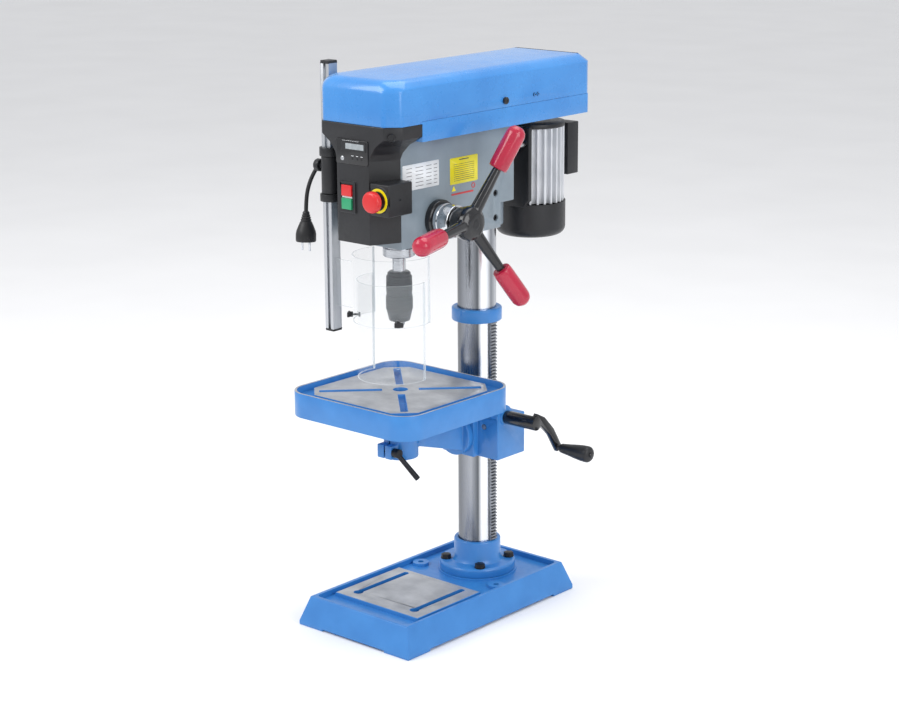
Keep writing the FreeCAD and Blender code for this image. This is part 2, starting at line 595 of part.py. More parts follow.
def make_table():
    half = "table_side / 2"
    square = rectangle("-(%s)" % half, half, "-(%s)" % half, half)
    tray = prism(square, "table_deep", ("0", SPINDLE_Y, "table_high - table_deep"),
                 round_edges="table_corner")
    inner = "table_side / 2 - table_wall / 2"
    trough = prism(rectangle("-(%s)" % inner, inner, "-(%s)" % inner, inner), "table_deep",
                   ("0", SPINDLE_Y,
                    "table_high - plate_drop - trough_drop"), round_edges="table_corner - table_wall / 2")
    plate_half = "table_side / 2 - table_wall / 2 - trough_width"
    corner = "34"
    octagon = [("-(%s) + %s" % (plate_half, corner), "-(%s)" % plate_half),
               (plate_half + " - " + corner, "-(%s)" % plate_half),
               (plate_half, "-(%s) + %s" % (plate_half, corner)), (plate_half, plate_half + " - " + corner),
               (plate_half + " - " + corner, plate_half), ("-(%s) + %s" % (plate_half, corner), plate_half),
               ("-(%s)" % plate_half, plate_half + " - " + corner), ("-(%s)" % plate_half,
                                                                     "-(%s) + %s" % (plate_half, corner))]
    plate = prism(octagon, "trough_drop + 2", ("0", SPINDLE_Y, "table_high - plate_drop - trough_drop - 2"))
    under = "table_side / 2 - table_wall"
    hollow = prism(rectangle("-(%s)" % under, under, "-(%s)" % under, under),
                   "table_deep - plate_drop - trough_drop - 8",
                   ("0", SPINDLE_Y, "table_high - table_deep - 1"), round_edges="table_corner - table_wall")
    stem = rod("table_stem_d", "table_high - 20 - table_stem_low", ("0", SPINDLE_Y, "table_stem_low"))
    ribs = [box(("table_side - table_wall", "8", "table_deep - 20"), ("-table_side / 2 + table_wall / 2",
            SPINDLE_Y + " - 4", "table_high - table_deep + 4")),
            box(("8", "table_side - table_wall", "table_deep - 20"),
                ("-4", SPINDLE_Y + " - table_side / 2 + table_wall / 2",
            "table_high - table_deep + 4"))]
    casting = fuse(cut(tray, trough, hollow), plate, stem, *ribs)
    slots = []
    for quarter in range(4):
        way = FreeCAD.Rotation(Z, 45 + 90 * quarter)
        slot = box(("table_slot_out - table_slot_in", "table_slot", "table_deep + 20"),
                   ("table_slot_in", "-table_slot / 2", "table_high - table_deep - 10"))
        slots.append(turned(slot, way, ("0", SPINDLE_Y, "0")))
    hole = rod("table_hole", "table_high", ("0", SPINDLE_Y, "table_stem_low - 10"))
    return node(cut(casting, hole, *slots), "table")


def make_table_clamp():
    ahead = SPINDLE_Y + " - arm_hub_d / 2 - 6"
    screw = rod("10", "44", ("-20", ahead, "arm_hub_low + 18"), "right")
    head = rod("17", "14", ("17 + free_gap", ahead, "arm_hub_low + 18"), "right")
    lever = taper("9", "10.5", "62", ("24", ahead, "arm_hub_low + 18"))
    place(lever, ("24", ahead, "arm_hub_low + 18"), FreeCAD.Rotation(Z, FreeCAD.Vector(30, 25, -50)))
    return node(fuse(screw, head, lever), "table_clamp_lever")


# ---------------------------------------------------------------- head
def make_head():
    shell = box(("2 * head_half", "-4 - head_front", "head_high - head_low"),
                ("-head_half", "column_y + head_front", "head_low"))
    tail = box(("2 * head_half", "head_back + 8", "head_high - head_low - 46"),
               ("-head_half", "column_y - 8", "head_low + 46"))
    inside = box(("2 * head_half - 2 * head_wall", "head_back - head_front - 2 * head_wall", "head_high"),
                 ("-head_half + head_wall", "column_y + head_front + head_wall", "head_low + head_wall"))
    rear_floor = box(("2 * head_half", "head_back + 8", "46 + head_wall"),
                     ("-head_half", "column_y - 8 - head_wall",
                                                                        "head_low"))
    quill_boss = rod("quill_boss_d", "head_high - head_low - 12", ("0", SPINDLE_Y, "head_low"))
    column_boss = rod("column_boss_d", "head_high - head_low - 12", ("0", "column_y", "head_low"))
    feed_boss = rod("feed_shaft_d + 20", "2 * head_half", ("-head_half", FEED_Y, "feed_z"), "right")
    bore = rod("quill_d + 2 * fit_gap", "head_high", ("0", SPINDLE_Y, "head_low - 20"))
    column_bore = rod("column_d + 2 * fit_gap", "column_top - head_low + 20",
                      ("0", "column_y", "head_low - 20"))
    feed_bore = rod("feed_shaft_d + 2 * fit_gap", "4 * head_half", ("-2 * head_half", FEED_Y, "feed_z"),
                    "right")
    pinion_room = rod("feed_teeth * gear_module + 2 * gear_module + 2", "rack_width + 4",
                      ("-rack_width / 2 - 2", FEED_Y, "feed_z"), "right")
    slide_ways = [rod("rod_d + 2 * fit_gap", "100", ("rod_x * %d" % side, "column_y + head_back - 80",
                                                     "rod_z"), "back")
                  for side in (-1, 1)]
    slide_bosses = [rod("rod_d + 12", "60", ("rod_x * %d" % side, "column_y + head_back - 60", "rod_z"),
                        "back")
                    for side in (-1, 1)]
    screws = [rod("12", "8", ("head_half - 7", "column_y - 18", height), "right")
              for height in ("head_low + 20", "head_low + 66")]
    casting = fuse(cut(fuse(shell, tail), cut(inside, rear_floor)), quill_boss, column_boss, feed_boss,
                   *slide_bosses)
    return node(cut(casting, bore, column_bore, feed_bore, pinion_room, *slide_ways, *screws),
                "head_casting")


def make_quill():
    radius = "quill_d / 2"
    nose = "quill_nose_d / 2"
    seat = "bearing_d / 2 + fit_gap / 2"
    way = "spindle_d / 2 + 1"
    tall = "quill_high - quill_low"
    profile = [(seat, "0"), (nose + " - 1.5", "0"), (nose, "1.5"), (nose, "quill_nose"),
               (radius, "quill_nose"),
               (radius, tall), (seat, tall), (seat, tall + " - bearing_tall"), (way,
                                                                                tall + " - bearing_tall"),
               (way, "bearing_tall"), (seat, "bearing_tall")]
    sleeve = spun(profile, ("0", SPINDLE_Y, "quill_low"))
    length = value("quill_high - 12 - quill_low - quill_nose - 14")
    low = "quill_low + quill_nose + 14"
    room = box(("quill_rack_width", "7", length), ("-quill_rack_width / 2",
                SPINDLE_Y + " + quill_d / 2 - gear_module - 1.2 * gear_module", low))
    bar = shaped(rack_bar(length, value("quill_rack_width"), 0.01, value("gear_module"), value("rack_add"),
                          0.3,
                          value("feed_z - (%s)" % low)),
                 ("0", SPINDLE_Y + " + quill_d / 2 - gear_module", low), FreeCAD.Rotation(Z, 90))
    return node(fuse(cut(sleeve, room), bar), "quill")


def make_quill_bearings():
    rings = []
    for low in ("quill_low", "quill_high - bearing_tall"):
        profile = [("spindle_d / 2 + 0.05", "0"), ("bearing_d / 2", "0"), ("bearing_d / 2", "bearing_tall"),
                   ("spindle_d / 2 + 0.05", "bearing_tall")]
        rings.append(spun(profile, ("0", SPINDLE_Y, low)))
    return node(group(*rings), "quill_bearings")


def make_spindle():
    low = "chuck_split + 8"
    neck = "spindle_neck_d / 2"
    profile = [("0", "0"), ("7", "0"), ("8.5", "chuck_top - chuck_split - 8"),
               (neck, "chuck_top - chuck_split - 8 + free_gap"),
               (neck, "quill_low - chuck_split - 8 - free_gap"), ("spindle_d / 2",
                                                                  "quill_low - chuck_split - 8 - free_gap"),
               ("spindle_d / 2", "quill_high - chuck_split + 6"), ("spline_d / 2",
                                                                   "quill_high - chuck_split + 6"),
               ("spline_d / 2", "spindle_top - chuck_split - 8"), ("0", "spindle_top - chuck_split - 8")]
    return node(spun(profile, ("0", SPINDLE_Y, low)), "spindle")


def make_chuck():
    body_r, sleeve_r = "chuck_body_d / 2", "chuck_sleeve_d / 2"
    tall = "chuck_top - chuck_split"
    cone = "chuck_top - chuck_split - 8"
    top = spun([("0", "0"), (body_r, "0"), (body_r, tall + " - 9"), (body_r + " - 2.5", tall + " - 7"),
                (body_r + " - 2.5", tall + " - 3"), (body_r + " - 6", tall), ("8.5 + 0.05", tall),
                ("7 + 0.05", "8"), ("0", "8")], ("0", SPINDLE_Y, "chuck_split"))
    core = rod("chuck_core_d", "chuck_split - chuck_low - 12", ("0", SPINDLE_Y, "chuck_low + 12"))
    ways = [turned(box(("chuck_core_d", "jaw_thick + 2 * fit_gap", "jaw_low + jaw_long + 2 - chuck_low"),
                       ("0", "-jaw_thick / 2 - fit_gap", "chuck_low")), FreeCAD.Rotation(Z, angle), ("0",
                        SPINDLE_Y, "0"))
            for angle in (30, 150, 270)]
    node(fuse(top, cut(core, *ways)), "chuck_body")
    depth = "chuck_split - free_gap - chuck_low"
    bore = "chuck_core_d / 2 + fit_gap"
    sleeve = spun([(bore, "0"), (bore + " + 2", "0"), (bore + " + 3.4", "2"), (sleeve_r, "26"),
                   (sleeve_r, depth + " - 3"),
                   (sleeve_r + " - 1", depth), (bore, depth)], ("0", SPINDLE_Y, "chuck_low"))
    for number in range(3):
        way = FreeCAD.Rotation(Z, 30 + 120 * number)
        jaw = prism([("4", "jaw_low"), ("jaw_deep - 3", "jaw_low"), ("jaw_deep", "jaw_low + 9"),
                     ("jaw_deep", "jaw_low + jaw_long"), ("3.8", "jaw_low + jaw_long")], "jaw_thick",
                    ("0", "jaw_thick / 2", "0"), "front")
        node(turned(jaw, way, ("0", SPINDLE_Y, "0")), "chuck_jaw_%d" % (number + 1))
    return node(sleeve, "chuck_sleeve")


# ---------------------------------------------------------------- feed
def make_feed():
    module, teeth = value("gear_module"), int(value("feed_teeth"))
    end = "head_half + ring_seat_wide + depth_ring_wide + hub_wide - 6"
    reach = value(end + " + head_half + spring_cap_wide - 6")
    pinion = involute_gear(teeth, module, value("quill_rack_width - 1"), TOOTH_PLAY)
    pinion.translate(FreeCAD.Vector(0, 0,
                                    value("head_half + spring_cap_wide - 6 - (quill_rack_width - 1) / 2")))
    bar = Part.makeCylinder(value("feed_shaft_d") / 2, reach)
    shaft = bar.fuse(pinion).removeSplitter()
    node(shaped(shaft, ("-head_half - spring_cap_wide + 6", FEED_Y, "feed_z"),
                GROWS["right"]), "feed_shaft")
    bore = "feed_shaft_d / 2 + fit_gap"
    seat = spun([(bore, "0"), ("ring_seat_d / 2", "0"), ("ring_seat_d / 2", "ring_seat_wide - 2"),
                 ("ring_seat_d / 2 - 2", "ring_seat_wide"), (bore, "ring_seat_wide")],
                ("head_half", FEED_Y, "feed_z"), "right")
    node(seat, "depth_ring_seat")
    radius = "depth_ring_d / 2"
    ring = spun([(bore, "0"), (radius, "0"), (radius, "depth_ring_wide - 2"),
                 (radius + " - 2", "depth_ring_wide"),
                 (bore, "depth_ring_wide")], ("head_half + ring_seat_wide + free_gap", FEED_Y,
                                              "feed_z"), "right")
    node(ring, "depth_ring")
    hub_at = "head_half + ring_seat_wide + depth_ring_wide + 2 * free_gap"
    hub = spun([(bore, "0"), ("hub_d / 2 - 4", "0"), ("hub_d / 2 - 2", "6"),
                ("hub_d / 2 + 3", "hub_wide - 16"),
                ("hub_d / 2 + 1", "hub_wide - 6"), ("hub_d / 2 - 8", "hub_wide"), ("0", "hub_wide"),
                ("0", "hub_wide - 5.6"), (bore, "hub_wide - 5.6")], (hub_at, FEED_Y, "feed_z"), "right")
    arms, grips = [], []
    for angle in (27, 147, 267):
        lean = value("handle_lean")
        swing = math.radians(angle)
        out = FreeCAD.Vector(math.sin(math.radians(lean)), math.sin(swing) * math.cos(math.radians(lean)),
                             math.cos(swing) * math.cos(math.radians(lean)))
        turn = FreeCAD.Rotation(Z, out)
        at = (hub_at + " + hub_wide - 18", FEED_Y, "feed_z")
        arm = taper("25", "15", "handle_reach - grip_long + 12", at)
        place(arm, at, turn)
        grip_at = (at[0] + " + (handle_reach - grip_long) * %.6f" % out.x,
                   at[1] + " + (handle_reach - grip_long) * %.6f" % out.y,
                   at[2] + " + (handle_reach - grip_long) * %.6f" % out.z)
        pin = place(rod("12", "handle_reach - 12", at), at, turn)
        arms += [arm, pin]
        grip = spun([("8.6", "0"), ("grip_d / 2 - 3", "0"), ("grip_d / 2 - 1", "2"), ("grip_d / 2", "10"),
                     ("grip_d / 2", "grip_long - 15"), ("grip_d / 2 - 3", "grip_long - 7"),
                     ("grip_d / 2 - 9", "grip_long - 1.5"), ("0", "grip_long"), ("0", "grip_long - 11"),
                     ("6.1", "grip_long - 11"), ("6.1", "13"), ("8.6", "13")], grip_at, "up")
        grip.Placement = FreeCAD.Placement(grip.Placement.Base, turn * FreeCAD.Rotation(X, 90))
        grips.append(grip)
    bore_way = rod("feed_shaft_d + 2 * fit_gap", "hub_wide - 5.6", (hub_at, FEED_Y, "feed_z"), "right")
    node(cut(fuse(hub, *arms), bore_way), "feed_hub")
    node(group(*grips), "feed_grips")
    cap_r = "spring_cap_d / 2"
    cap = spun([("feed_shaft_d / 2 + 1", "0"), (cap_r, "0"), (cap_r, "spring_cap_wide - 3"),
                (cap_r + " - 3", "spring_cap_wide"),
                ("0", "spring_cap_wide"), ("0", "spring_cap_wide - 3"), (cap_r + " - 4",
                                                                         "spring_cap_wide - 3"),
                (cap_r + " - 4", "2"), ("feed_shaft_d / 2 + 1", "2")], ("-head_half", FEED_Y,
                                                                        "feed_z"), "left")
    node(cap, "spring_cap")
    node(shaped(spiral_spring(), ("-head_half - 4", FEED_Y, "feed_z"), GROWS["left"]), "return_spring")


def spiral_spring():
    """A flat spiral strip between the shaft and the rim of its cap."""
    inner = value("feed_shaft_d / 2") + 1.2
    outer = value("spring_cap_d / 2") - 4.6
    turns, thick, steps = 5, 0.8, 24
    edge = []
    for side in (0, thick):
        run = []
        for step in range(turns * steps + 1):
            angle = 2 * math.pi * step / steps
            radius = inner + (outer - thick - inner) * step / (turns * steps) + side
            run.append(FreeCAD.Vector(radius * math.cos(angle), radius * math.sin(angle), 0))
        edge.append(run)
    loop = edge[0] + edge[1][::-1]
    return Part.Face(Part.makePolygon(loop + loop[:1])).extrude(FreeCAD.Vector(0, 0, 14))


# ---------------------------------------------------------------- belt cover
def cover_outline(front, back, inset):
    """The cover seen from above, its corners cut off, drawn inset from the outside."""
    half = "cover_half - (%s)" % inset
    ahead, behind = "%s + %s" % (front, inset), "%s - (%s)" % (back, inset)
    return [("-(%s) + nose_chamfer" % half, ahead), (half + " - nose_chamfer", ahead),
            (half, ahead + " + nose_chamfer"),
            (half, behind + " - tail_chamfer"), (half + " - tail_chamfer",
                                                 behind), ("-(%s) + tail_chamfer" % half, behind),
            ("-(%s)" % half, behind + " - tail_chamfer"), ("-(%s)" % half, ahead + " + nose_chamfer")]


def make_tray():
    def plan(inset):
        half = "cover_half - %s" % inset
        behind = "cover_back - %s" % inset
        return [("-(%s)" % half, "tray_front + %s" % inset), (half, "tray_front + %s" % inset),
                (half, behind + " - tail_chamfer"),
                (half + " - tail_chamfer", behind), ("-(%s) + tail_chamfer" % half,
                                                     behind), ("-(%s)" % half, behind + " - tail_chamfer")]
    outer = prism(plan("0"), "parting - tray_low", ("0", "column_y", "tray_low"))
    inner = prism(plan("tray_wall"), "parting", ("0", "column_y", "tray_low + tray_wall"))
    spindle_way = rod("sleeve_d + 2 * free_gap", "parting", ("0", SPINDLE_Y, "head_high - 20"))
    motor_way = [rod("motor_shaft_d + 4", "parting", ("0", "column_y + motor_y - %d" % back,
                                                      "head_high - 20"))
                 for back in (0, 6, 13)]
    post = rod("idler_post_d", "pulley_low + pulley_steps * pulley_step + 8 - tray_low",
               ("0", "column_y + idler_y", "tray_low"))
    foot = rod("idler_post_d + 26", "pulley_low - 4 - tray_low", ("0", "column_y + idler_y", "tray_low"))
    barrel = []
    for side in (-1, 1):
        at = ("58 * %d - 14" % side, "column_y + cover_back + 5", "parting + 3")
        knuckle = rod("9", "13", at, "right")
        pin = rod("4", "27", at, "right")
        leaf = box(("13", "3", "26"), (at[0], "column_y + cover_back", "parting - 24"))
        barrel += [fuse(knuckle, pin), leaf]
    return node(cut(fuse(outer, post, foot, *barrel), cut(inner, post, foot), spindle_way, *motor_way),
                "belt_tray")


def lid_body(inset, bottom, top_inset):
    """The lid's outside, or its inside drawn inset."""
    plan = cover_outline("lid_front", "cover_back", inset)
    upper = [(across, along) for across, along in cover_outline("lid_front", "cover_back",
                                                                inset + " + lid_bevel")]
    return loft([(bottom, plan), ("lid_shoulder - %s" % top_inset, plan),
                 ("lid_high - %s" % top_inset, upper)],
                ("0", "column_y", "0"))


def make_lid():
    shell = cut(lid_body("0", "parting + free_gap", "0"), lid_body("lid_wall", "parting - 5", "lid_wall"))
    skirt_plan = [("-(cover_half) + nose_chamfer", "lid_front"), ("cover_half - nose_chamfer", "lid_front"),
                  ("cover_half", "lid_front + nose_chamfer"), ("cover_half", "tray_front - free_gap"),
                  ("cover_half - lid_wall", "tray_front - free_gap"), ("cover_half - lid_wall",
                                                                       "lid_front + nose_chamfer + 1"),
                  ("cover_half - nose_chamfer - 1", "lid_front + lid_wall"),
                  ("-(cover_half) + nose_chamfer + 1", "lid_front + lid_wall"),
                  ("-(cover_half) + lid_wall",
                   "lid_front + nose_chamfer + 1"), ("-(cover_half) + lid_wall", "tray_front - free_gap"),
                  ("-(cover_half)", "tray_front - free_gap"), ("-(cover_half)", "lid_front + nose_chamfer")]
    skirt = prism(skirt_plan, "parting + 2 - lid_lip", ("0", "column_y", "lid_lip"))
    leaves = []
    for side in (-1, 1):
        at = ("58 * %d - 0.7" % side, "column_y + cover_back + 5", "parting + 3")
        leaves.append(cut(rod("9", "13", at, "right"), rod("4 + 2 * fit_gap", "20", at, "right")))
        leaves.append(box(("13", "3", "20"), (at[0], "column_y + cover_back", "parting + 9")))
    knob = rod("13", "5", ("cover_half", "column_y - 33", "parting + 13"), "right")
    studs = [rod("6", "2.5", ("cover_half", "column_y + %d" % along, "parting + 15"),
                 "right") for along in (52, 62)]
    return node(fuse(shell, skirt, knob, *studs, *leaves), "lid")


# ---------------------------------------------------------------- pulleys and belts
def pulley_profile(first_r, change, bore, hub_low):
    """Half section of a stepped V pulley; each step's radius changes by change from the one below."""
    points = [(bore, hub_low)]
    radius = first_r
    points.append((radius + " - groove_deep - 3", hub_low))
    points.append((radius + " - groove_deep - 3", "0"))
    for step in range(int(value("pulley_steps"))):
        low = "pulley_step * %d" % step
        points += [(radius, low), (radius, low + " + 1"), (radius + " - groove_deep", low + " + 2.5"),
                   (radius + " - groove_deep", low + " + pulley_step - 2.5"), (radius,
                                                                               low + " + pulley_step - 1"),
                   (radius, low + " + pulley_step")]
        radius = "%s %s step_drop" % (radius, change)
    points.append((bore, "pulley_step * pulley_steps"))
    return points


def make_pulleys():
    low = "pulley_low"
    spindle = spun(pulley_profile("spindle_pulley_r", "-", "spline_d / 2 + fit_gap",
                                  "-(pulley_low - head_high + 8)"),
                   ("0", SPINDLE_Y, low))
    outside = cut(rod("300", "pulley_low - head_high + 7.9", ("0", SPINDLE_Y, "head_high - 8")),
                  rod("sleeve_d", "pulley_low", ("0", SPINDLE_Y, "head_high - 10")))
    node(cut(spindle, outside), "spindle_pulley")
    node(spun(pulley_profile("idler_pulley_r", "+", "idler_post_d / 2 + fit_gap", "-3.5"),
              ("0", "column_y + idler_y", low)),
         "idler_pulley")
    node(spun(pulley_profile("motor_pulley_r", "-", "motor_shaft_d / 2 + fit_gap / 2", "-4"),
              ("0", "column_y + motor_y", low)),
         "motor_pulley")


def belt_loop(centre_a, radius_a, centre_b, radius_b, low, width):
    """A closed belt round two pulleys whose centres lie along Y."""
    span = centre_b - centre_a
    lean = math.asin((radius_a - radius_b) / span)
    faces = []
    for inset in (0.4, 0.4 + value("belt_thick")):
        ra, rb = radius_a - inset, radius_b - inset
        touch_a = [FreeCAD.Vector(side * ra * math.cos(lean), centre_a + ra * math.sin(lean),
                                  low) for side in (-1, 1)]
        touch_b = [FreeCAD.Vector(side * rb * math.cos(lean), centre_b + rb * math.sin(lean),
                                  low) for side in (-1, 1)]
        round_a = Part.Arc(touch_a[0], FreeCAD.Vector(0, centre_a - ra, low), touch_a[1])
        round_b = Part.Arc(touch_b[1], FreeCAD.Vector(0, centre_b + rb, low), touch_b[0])
        wire = Part.Wire([round_a.toShape(), Part.LineSegment(touch_a[1], touch_b[1]).toShape(),
                          round_b.toShape(), Part.LineSegment(touch_b[0], touch_a[0]).toShape()])
        faces.append(Part.Face(wire))
    return faces[0].cut(faces[1]).extrude(FreeCAD.Vector(0, 0, width))


def make_belts():
    step, drop = value("pulley_step"), value("step_drop")
    spindle_y, idler_y, motor_y = value(SPINDLE_Y), value("column_y + idler_y"), value("column_y + motor_y")
    lift = (step - value("belt_wide")) / 2
    for label, level, first, second in (("front_belt", 1, ("spindle", spindle_y), ("idler", idler_y)),
                                        ("rear_belt", 2, ("idler", idler_y), ("motor", motor_y))):
        ends = []
        for name, place_y in (first, second):
            sign = 1 if name == "idler" else -1
            ends += [place_y, value(name + "_pulley_r") + sign * drop * level]
        low = value("pulley_low") + level * step + lift
        node(shaped(belt_loop(ends[0], ends[1], ends[2], ends[3], low, value("belt_wide"))), label)


# ---------------------------------------------------------------- black front cover and controls
def cover_section(front_half, mid_half, mid_y, back_y, inset):
    ahead = "front_y + %s" % inset
    return [("-(%s) + %s" % (front_half, inset), ahead), ("%s - %s" % (front_half, inset), ahead),
            ("%s - %s" % (mid_half, inset), mid_y), ("%s - %s" % (mid_half, inset), back_y),
            ("-(%s) + %s" % (mid_half, inset), back_y), ("-(%s) + %s" % (mid_half, inset), mid_y)]


def cover_skin(inset, low, high):
    """The cover's outside, or its inside drawn inset: a narrow front that widens to the lid at its top."""
    narrow = ("front_half", "head_half", "head_front - 3", "head_front")
    wide = ("brow_half", "cover_half", "lid_front + nose_chamfer", "tray_front")
    stages = [(low, 0.0), ("brow_low", 0.0), ("brow_low * 0.7 + brow_high * 0.3", 0.12),
              ("brow_low * 0.35 + brow_high * 0.65", 0.42), ("brow_high", 1.0), (high, 1.0)]
    sections = []
    for lift, share in stages:
        mixed = ["(%s) * %.2f + (%s) * %.2f" % (thin, 1 - share, thick, share) for thin,
                 thick in zip(narrow, wide)]
        sections.append((lift, cover_section(*mixed, inset)))
    return loft(sections, ("0", "column_y", "0"))


def make_front_cover():
    outer = cover_skin("0", "cover_low", "lid_lip - free_gap")
    inner = cover_skin("cover_wall", "cover_low + cover_wall", "lid_lip + 10")
    casting = box(("2 * head_half", "200", "tray_low - cover_low + 20"),
                  ("-head_half", "column_y + head_front", "cover_low - 20"))
    tray = box(("4 * cover_half", "100", "60"), ("-2 * cover_half", "column_y + tray_front",
                                                 "tray_low - 0.1"))
    panel_way = box(("2 * panel_half - 10", "10", "panel_high - panel_low - 10"),
                    ("-panel_half + 5", "column_y + front_y - 3", "panel_low + 5"))
    button_ways = [box(("switch_wide - 5", "12", "(switch_high - switch_low) / 2 - 4"),
                       ("switch_x - switch_wide / 2 + 2.5", "column_y + front_y - 4", low))
                   for low in ("switch_low + 2.5", "(switch_low + switch_high) / 2 + 1.5")]
    bezel = box(("switch_wide + 9", "3", "switch_high - switch_low + 7"),
                ("switch_x - switch_wide / 2 - 4.5", "column_y + front_y - 3", "switch_low - 3.5"))
    stop_way = rod("14", "60", ("stop_box_x", "column_y + stop_box_front - 10", "stop_box_z"), "back")
    shell = cut(outer, inner, casting, tray)
    return node(cut(fuse(shell, bezel), panel_way, *button_ways), "front_cover")


def make_controls():
    face = "column_y + front_y"
    panel = box(("2 * panel_half", "2", "panel_high - panel_low"),
                ("-panel_half", face + " - 2", "panel_low"))
    rim = box(("2 * panel_half - 11", "6", "panel_high - panel_low - 11"),
              ("-panel_half + 5.5", face + " - 1", "panel_low + 5.5"))
    keys = [rod("5", "1.5", (across, face + " - 2", "panel_low + 9"), "front") for across in ("1", "13",
                                                                                              "23")]
    knob = rod("10", "2.5", ("-23", face + " - 2", "panel_low + 9"), "front")
    node(fuse(panel, rim, knob, *keys), "display_panel")
    middle = "(switch_low + switch_high) / 2"
    for label, low, high in (("start_button", "switch_low + 2.8", middle + " - 1.8"),
                             ("stop_button", middle + " + 1.8", "switch_high - 2.8")):
        face_y = face + " - 3 - switch_travel - 0.5"
        key = box(("switch_wide - 5.6", "10", "(%s) - (%s)" % (high, low)),
                  ("switch_x - switch_wide / 2 + 2.8", face_y, low))
        node(key, label)
    housing = box(("stop_box_wide", "head_front - stop_box_front", "stop_box_tall"),
                  ("stop_box_x - stop_box_wide / 2", "column_y + stop_box_front",
                   "stop_box_z - stop_box_tall / 2"))
    hidden = cover_skin("-free_gap", "cover_low", "lid_lip - 2")
    stem_way = rod("14.4", "30", ("stop_box_x", "column_y + stop_box_front - 10", "stop_box_z"), "back")
    ring = rod("stop_ring_d", "3", ("stop_box_x", "column_y + stop_box_front", "stop_box_z"), "front")
    node(cut(fuse(cut(housing, hidden), ring), stem_way), "e_stop_box")
    head_r = "stop_head_d / 2"
    button = spun([("0", "0"), ("7", "0"), ("7", "stop_travel + 17"), (head_r + " - 4", "stop_travel + 19"),
                   (head_r, "stop_travel + 23"), (head_r, "stop_travel + 28"), (head_r + " - 3",
                                                                                "stop_travel + 32"),
                   ("0", "stop_travel + 34")], ("stop_box_x", "column_y + stop_box_front + 12",
                                                "stop_box_z"), "front")
    node(button, "e_stop_button")


# ---------------------------------------------------------------- motor
def make_motor():
    centre = ("0", "column_y + motor_y")
    core = rod("2 * motor_r - 2 * fin_deep", "motor_high - motor_low", (*centre, "motor_low"))
    fins = []
    for number in range(int(value("fin_count"))):
        way = FreeCAD.Rotation(Z, 360 / value("fin_count") * number)
        fin = box(("fin_deep + 8", "fin_wide", "motor_high - motor_low"),
                  ("motor_r - fin_deep - 8", "-fin_wide / 2", "motor_low"))
        fins.append(turned(fin, way, (*centre, "0")))
    top = rod("2 * motor_r + 2", "8", (*centre, "motor_high"))
    bore = rod("motor_shaft_d + 2", "300", (*centre, "motor_low - 20"))
    flat = box(("2 * plate_half", "motor_r", "motor_high + 30 - motor_low"),
               ("-plate_half", "column_y + plate_front + plate_thick - motor_r", "motor_low - 10"))
    box_flat = box(("4 * terminal_half", "40", "motor_high - terminal_low + 20"),
                   ("-2 * terminal_half", "column_y + motor_y + motor_r - 3", "terminal_low - 10"))
    return node(cut(fuse(core, top, *fins), bore, flat, box_flat), "motor_body")


def make_motor_parts():
    centre = ("0", "column_y + motor_y")
    plate = prism([("-plate_half", "motor_low + 14"), ("-plate_half + 14", "motor_low"),
                   ("plate_half - 14", "motor_low"),
                   ("plate_half", "motor_low + 14"), ("plate_half", "motor_high + 8"), ("-plate_half",
                                                                                        "motor_high + 8")],
                  "plate_thick", ("0", "column_y + plate_front + plate_thick", "0"), "front")
    way = [rod("rod_d + 2 * fit_gap", "40", ("rod_x * %d" % side, "column_y + plate_front - 10", "rod_z"),
               "back")
           for side in (-1, 1)]
    node(cut(plate, *way), "motor_plate")
    radius = "bell_r"
    bell = spun([("26", "0"), (radius + " - 10", "0"), (radius + " - 2", "5"), (radius, "16"),
                 (radius, "motor_low - bell_low - free_gap"),
                 (radius + " - 3", "motor_low - bell_low - free_gap"), (radius + " - 3",
                                                                        "17"), (radius + " - 5", "7"),
                 (radius + " - 11", "3"), ("26", "3")], (*centre, "bell_low"))
    node(bell, "motor_fan_cover")
    low = "bell_low + 12"
    shaft = rod("motor_shaft_d", "pulley_low + pulley_steps * pulley_step + 6 - bell_low - 12",
                (*centre, low))
    hub = rod("30", "26", (*centre, "bell_low + 16"))
    blades = [turned(box(("44", "2.5", "24"), ("12", "-1.25", "bell_low + 17")),
                     FreeCAD.Rotation(Z, 60 * number), (*centre, "0"))
              for number in range(6)]
    node(fuse(shaft, hub, *blades), "motor_shaft")
    terminal = box(("2 * terminal_half", "terminal_back - motor_y - motor_r + 3",
                    "motor_high - terminal_low"),
                   ("-terminal_half", "column_y + motor_y + motor_r - 3", "terminal_low"))
    node(terminal, "terminal_box")
    rods = [rod("rod_d", "plate_front + plate_thick - head_back + 54",
                ("rod_x * %d" % side, "column_y + head_back - 54", "rod_z"), "back")
            for side in (-1, 1)]
    node(group(*rods), "slide_rods")


# ---------------------------------------------------------------- guard
def ring_sector(radius, wall, low, high, start, end):
    """A part-round wall between two angles about the shield's axis."""
    tall = value("(%s) - (%s)" % (high, low))
    outer, inner = value(radius), value("(%s) - (%s)" % (radius, wall))
    sweep = end - start
    solid = Part.makeCylinder(outer, tall, FreeCAD.Vector(), Z,
                              sweep).cut(Part.makeCylinder(inner, tall, FreeCAD.Vector(), Z, 360))
    return shaped(solid, ("shield_x", "column_y + shield_y", low), FreeCAD.Rotation(Z, start))


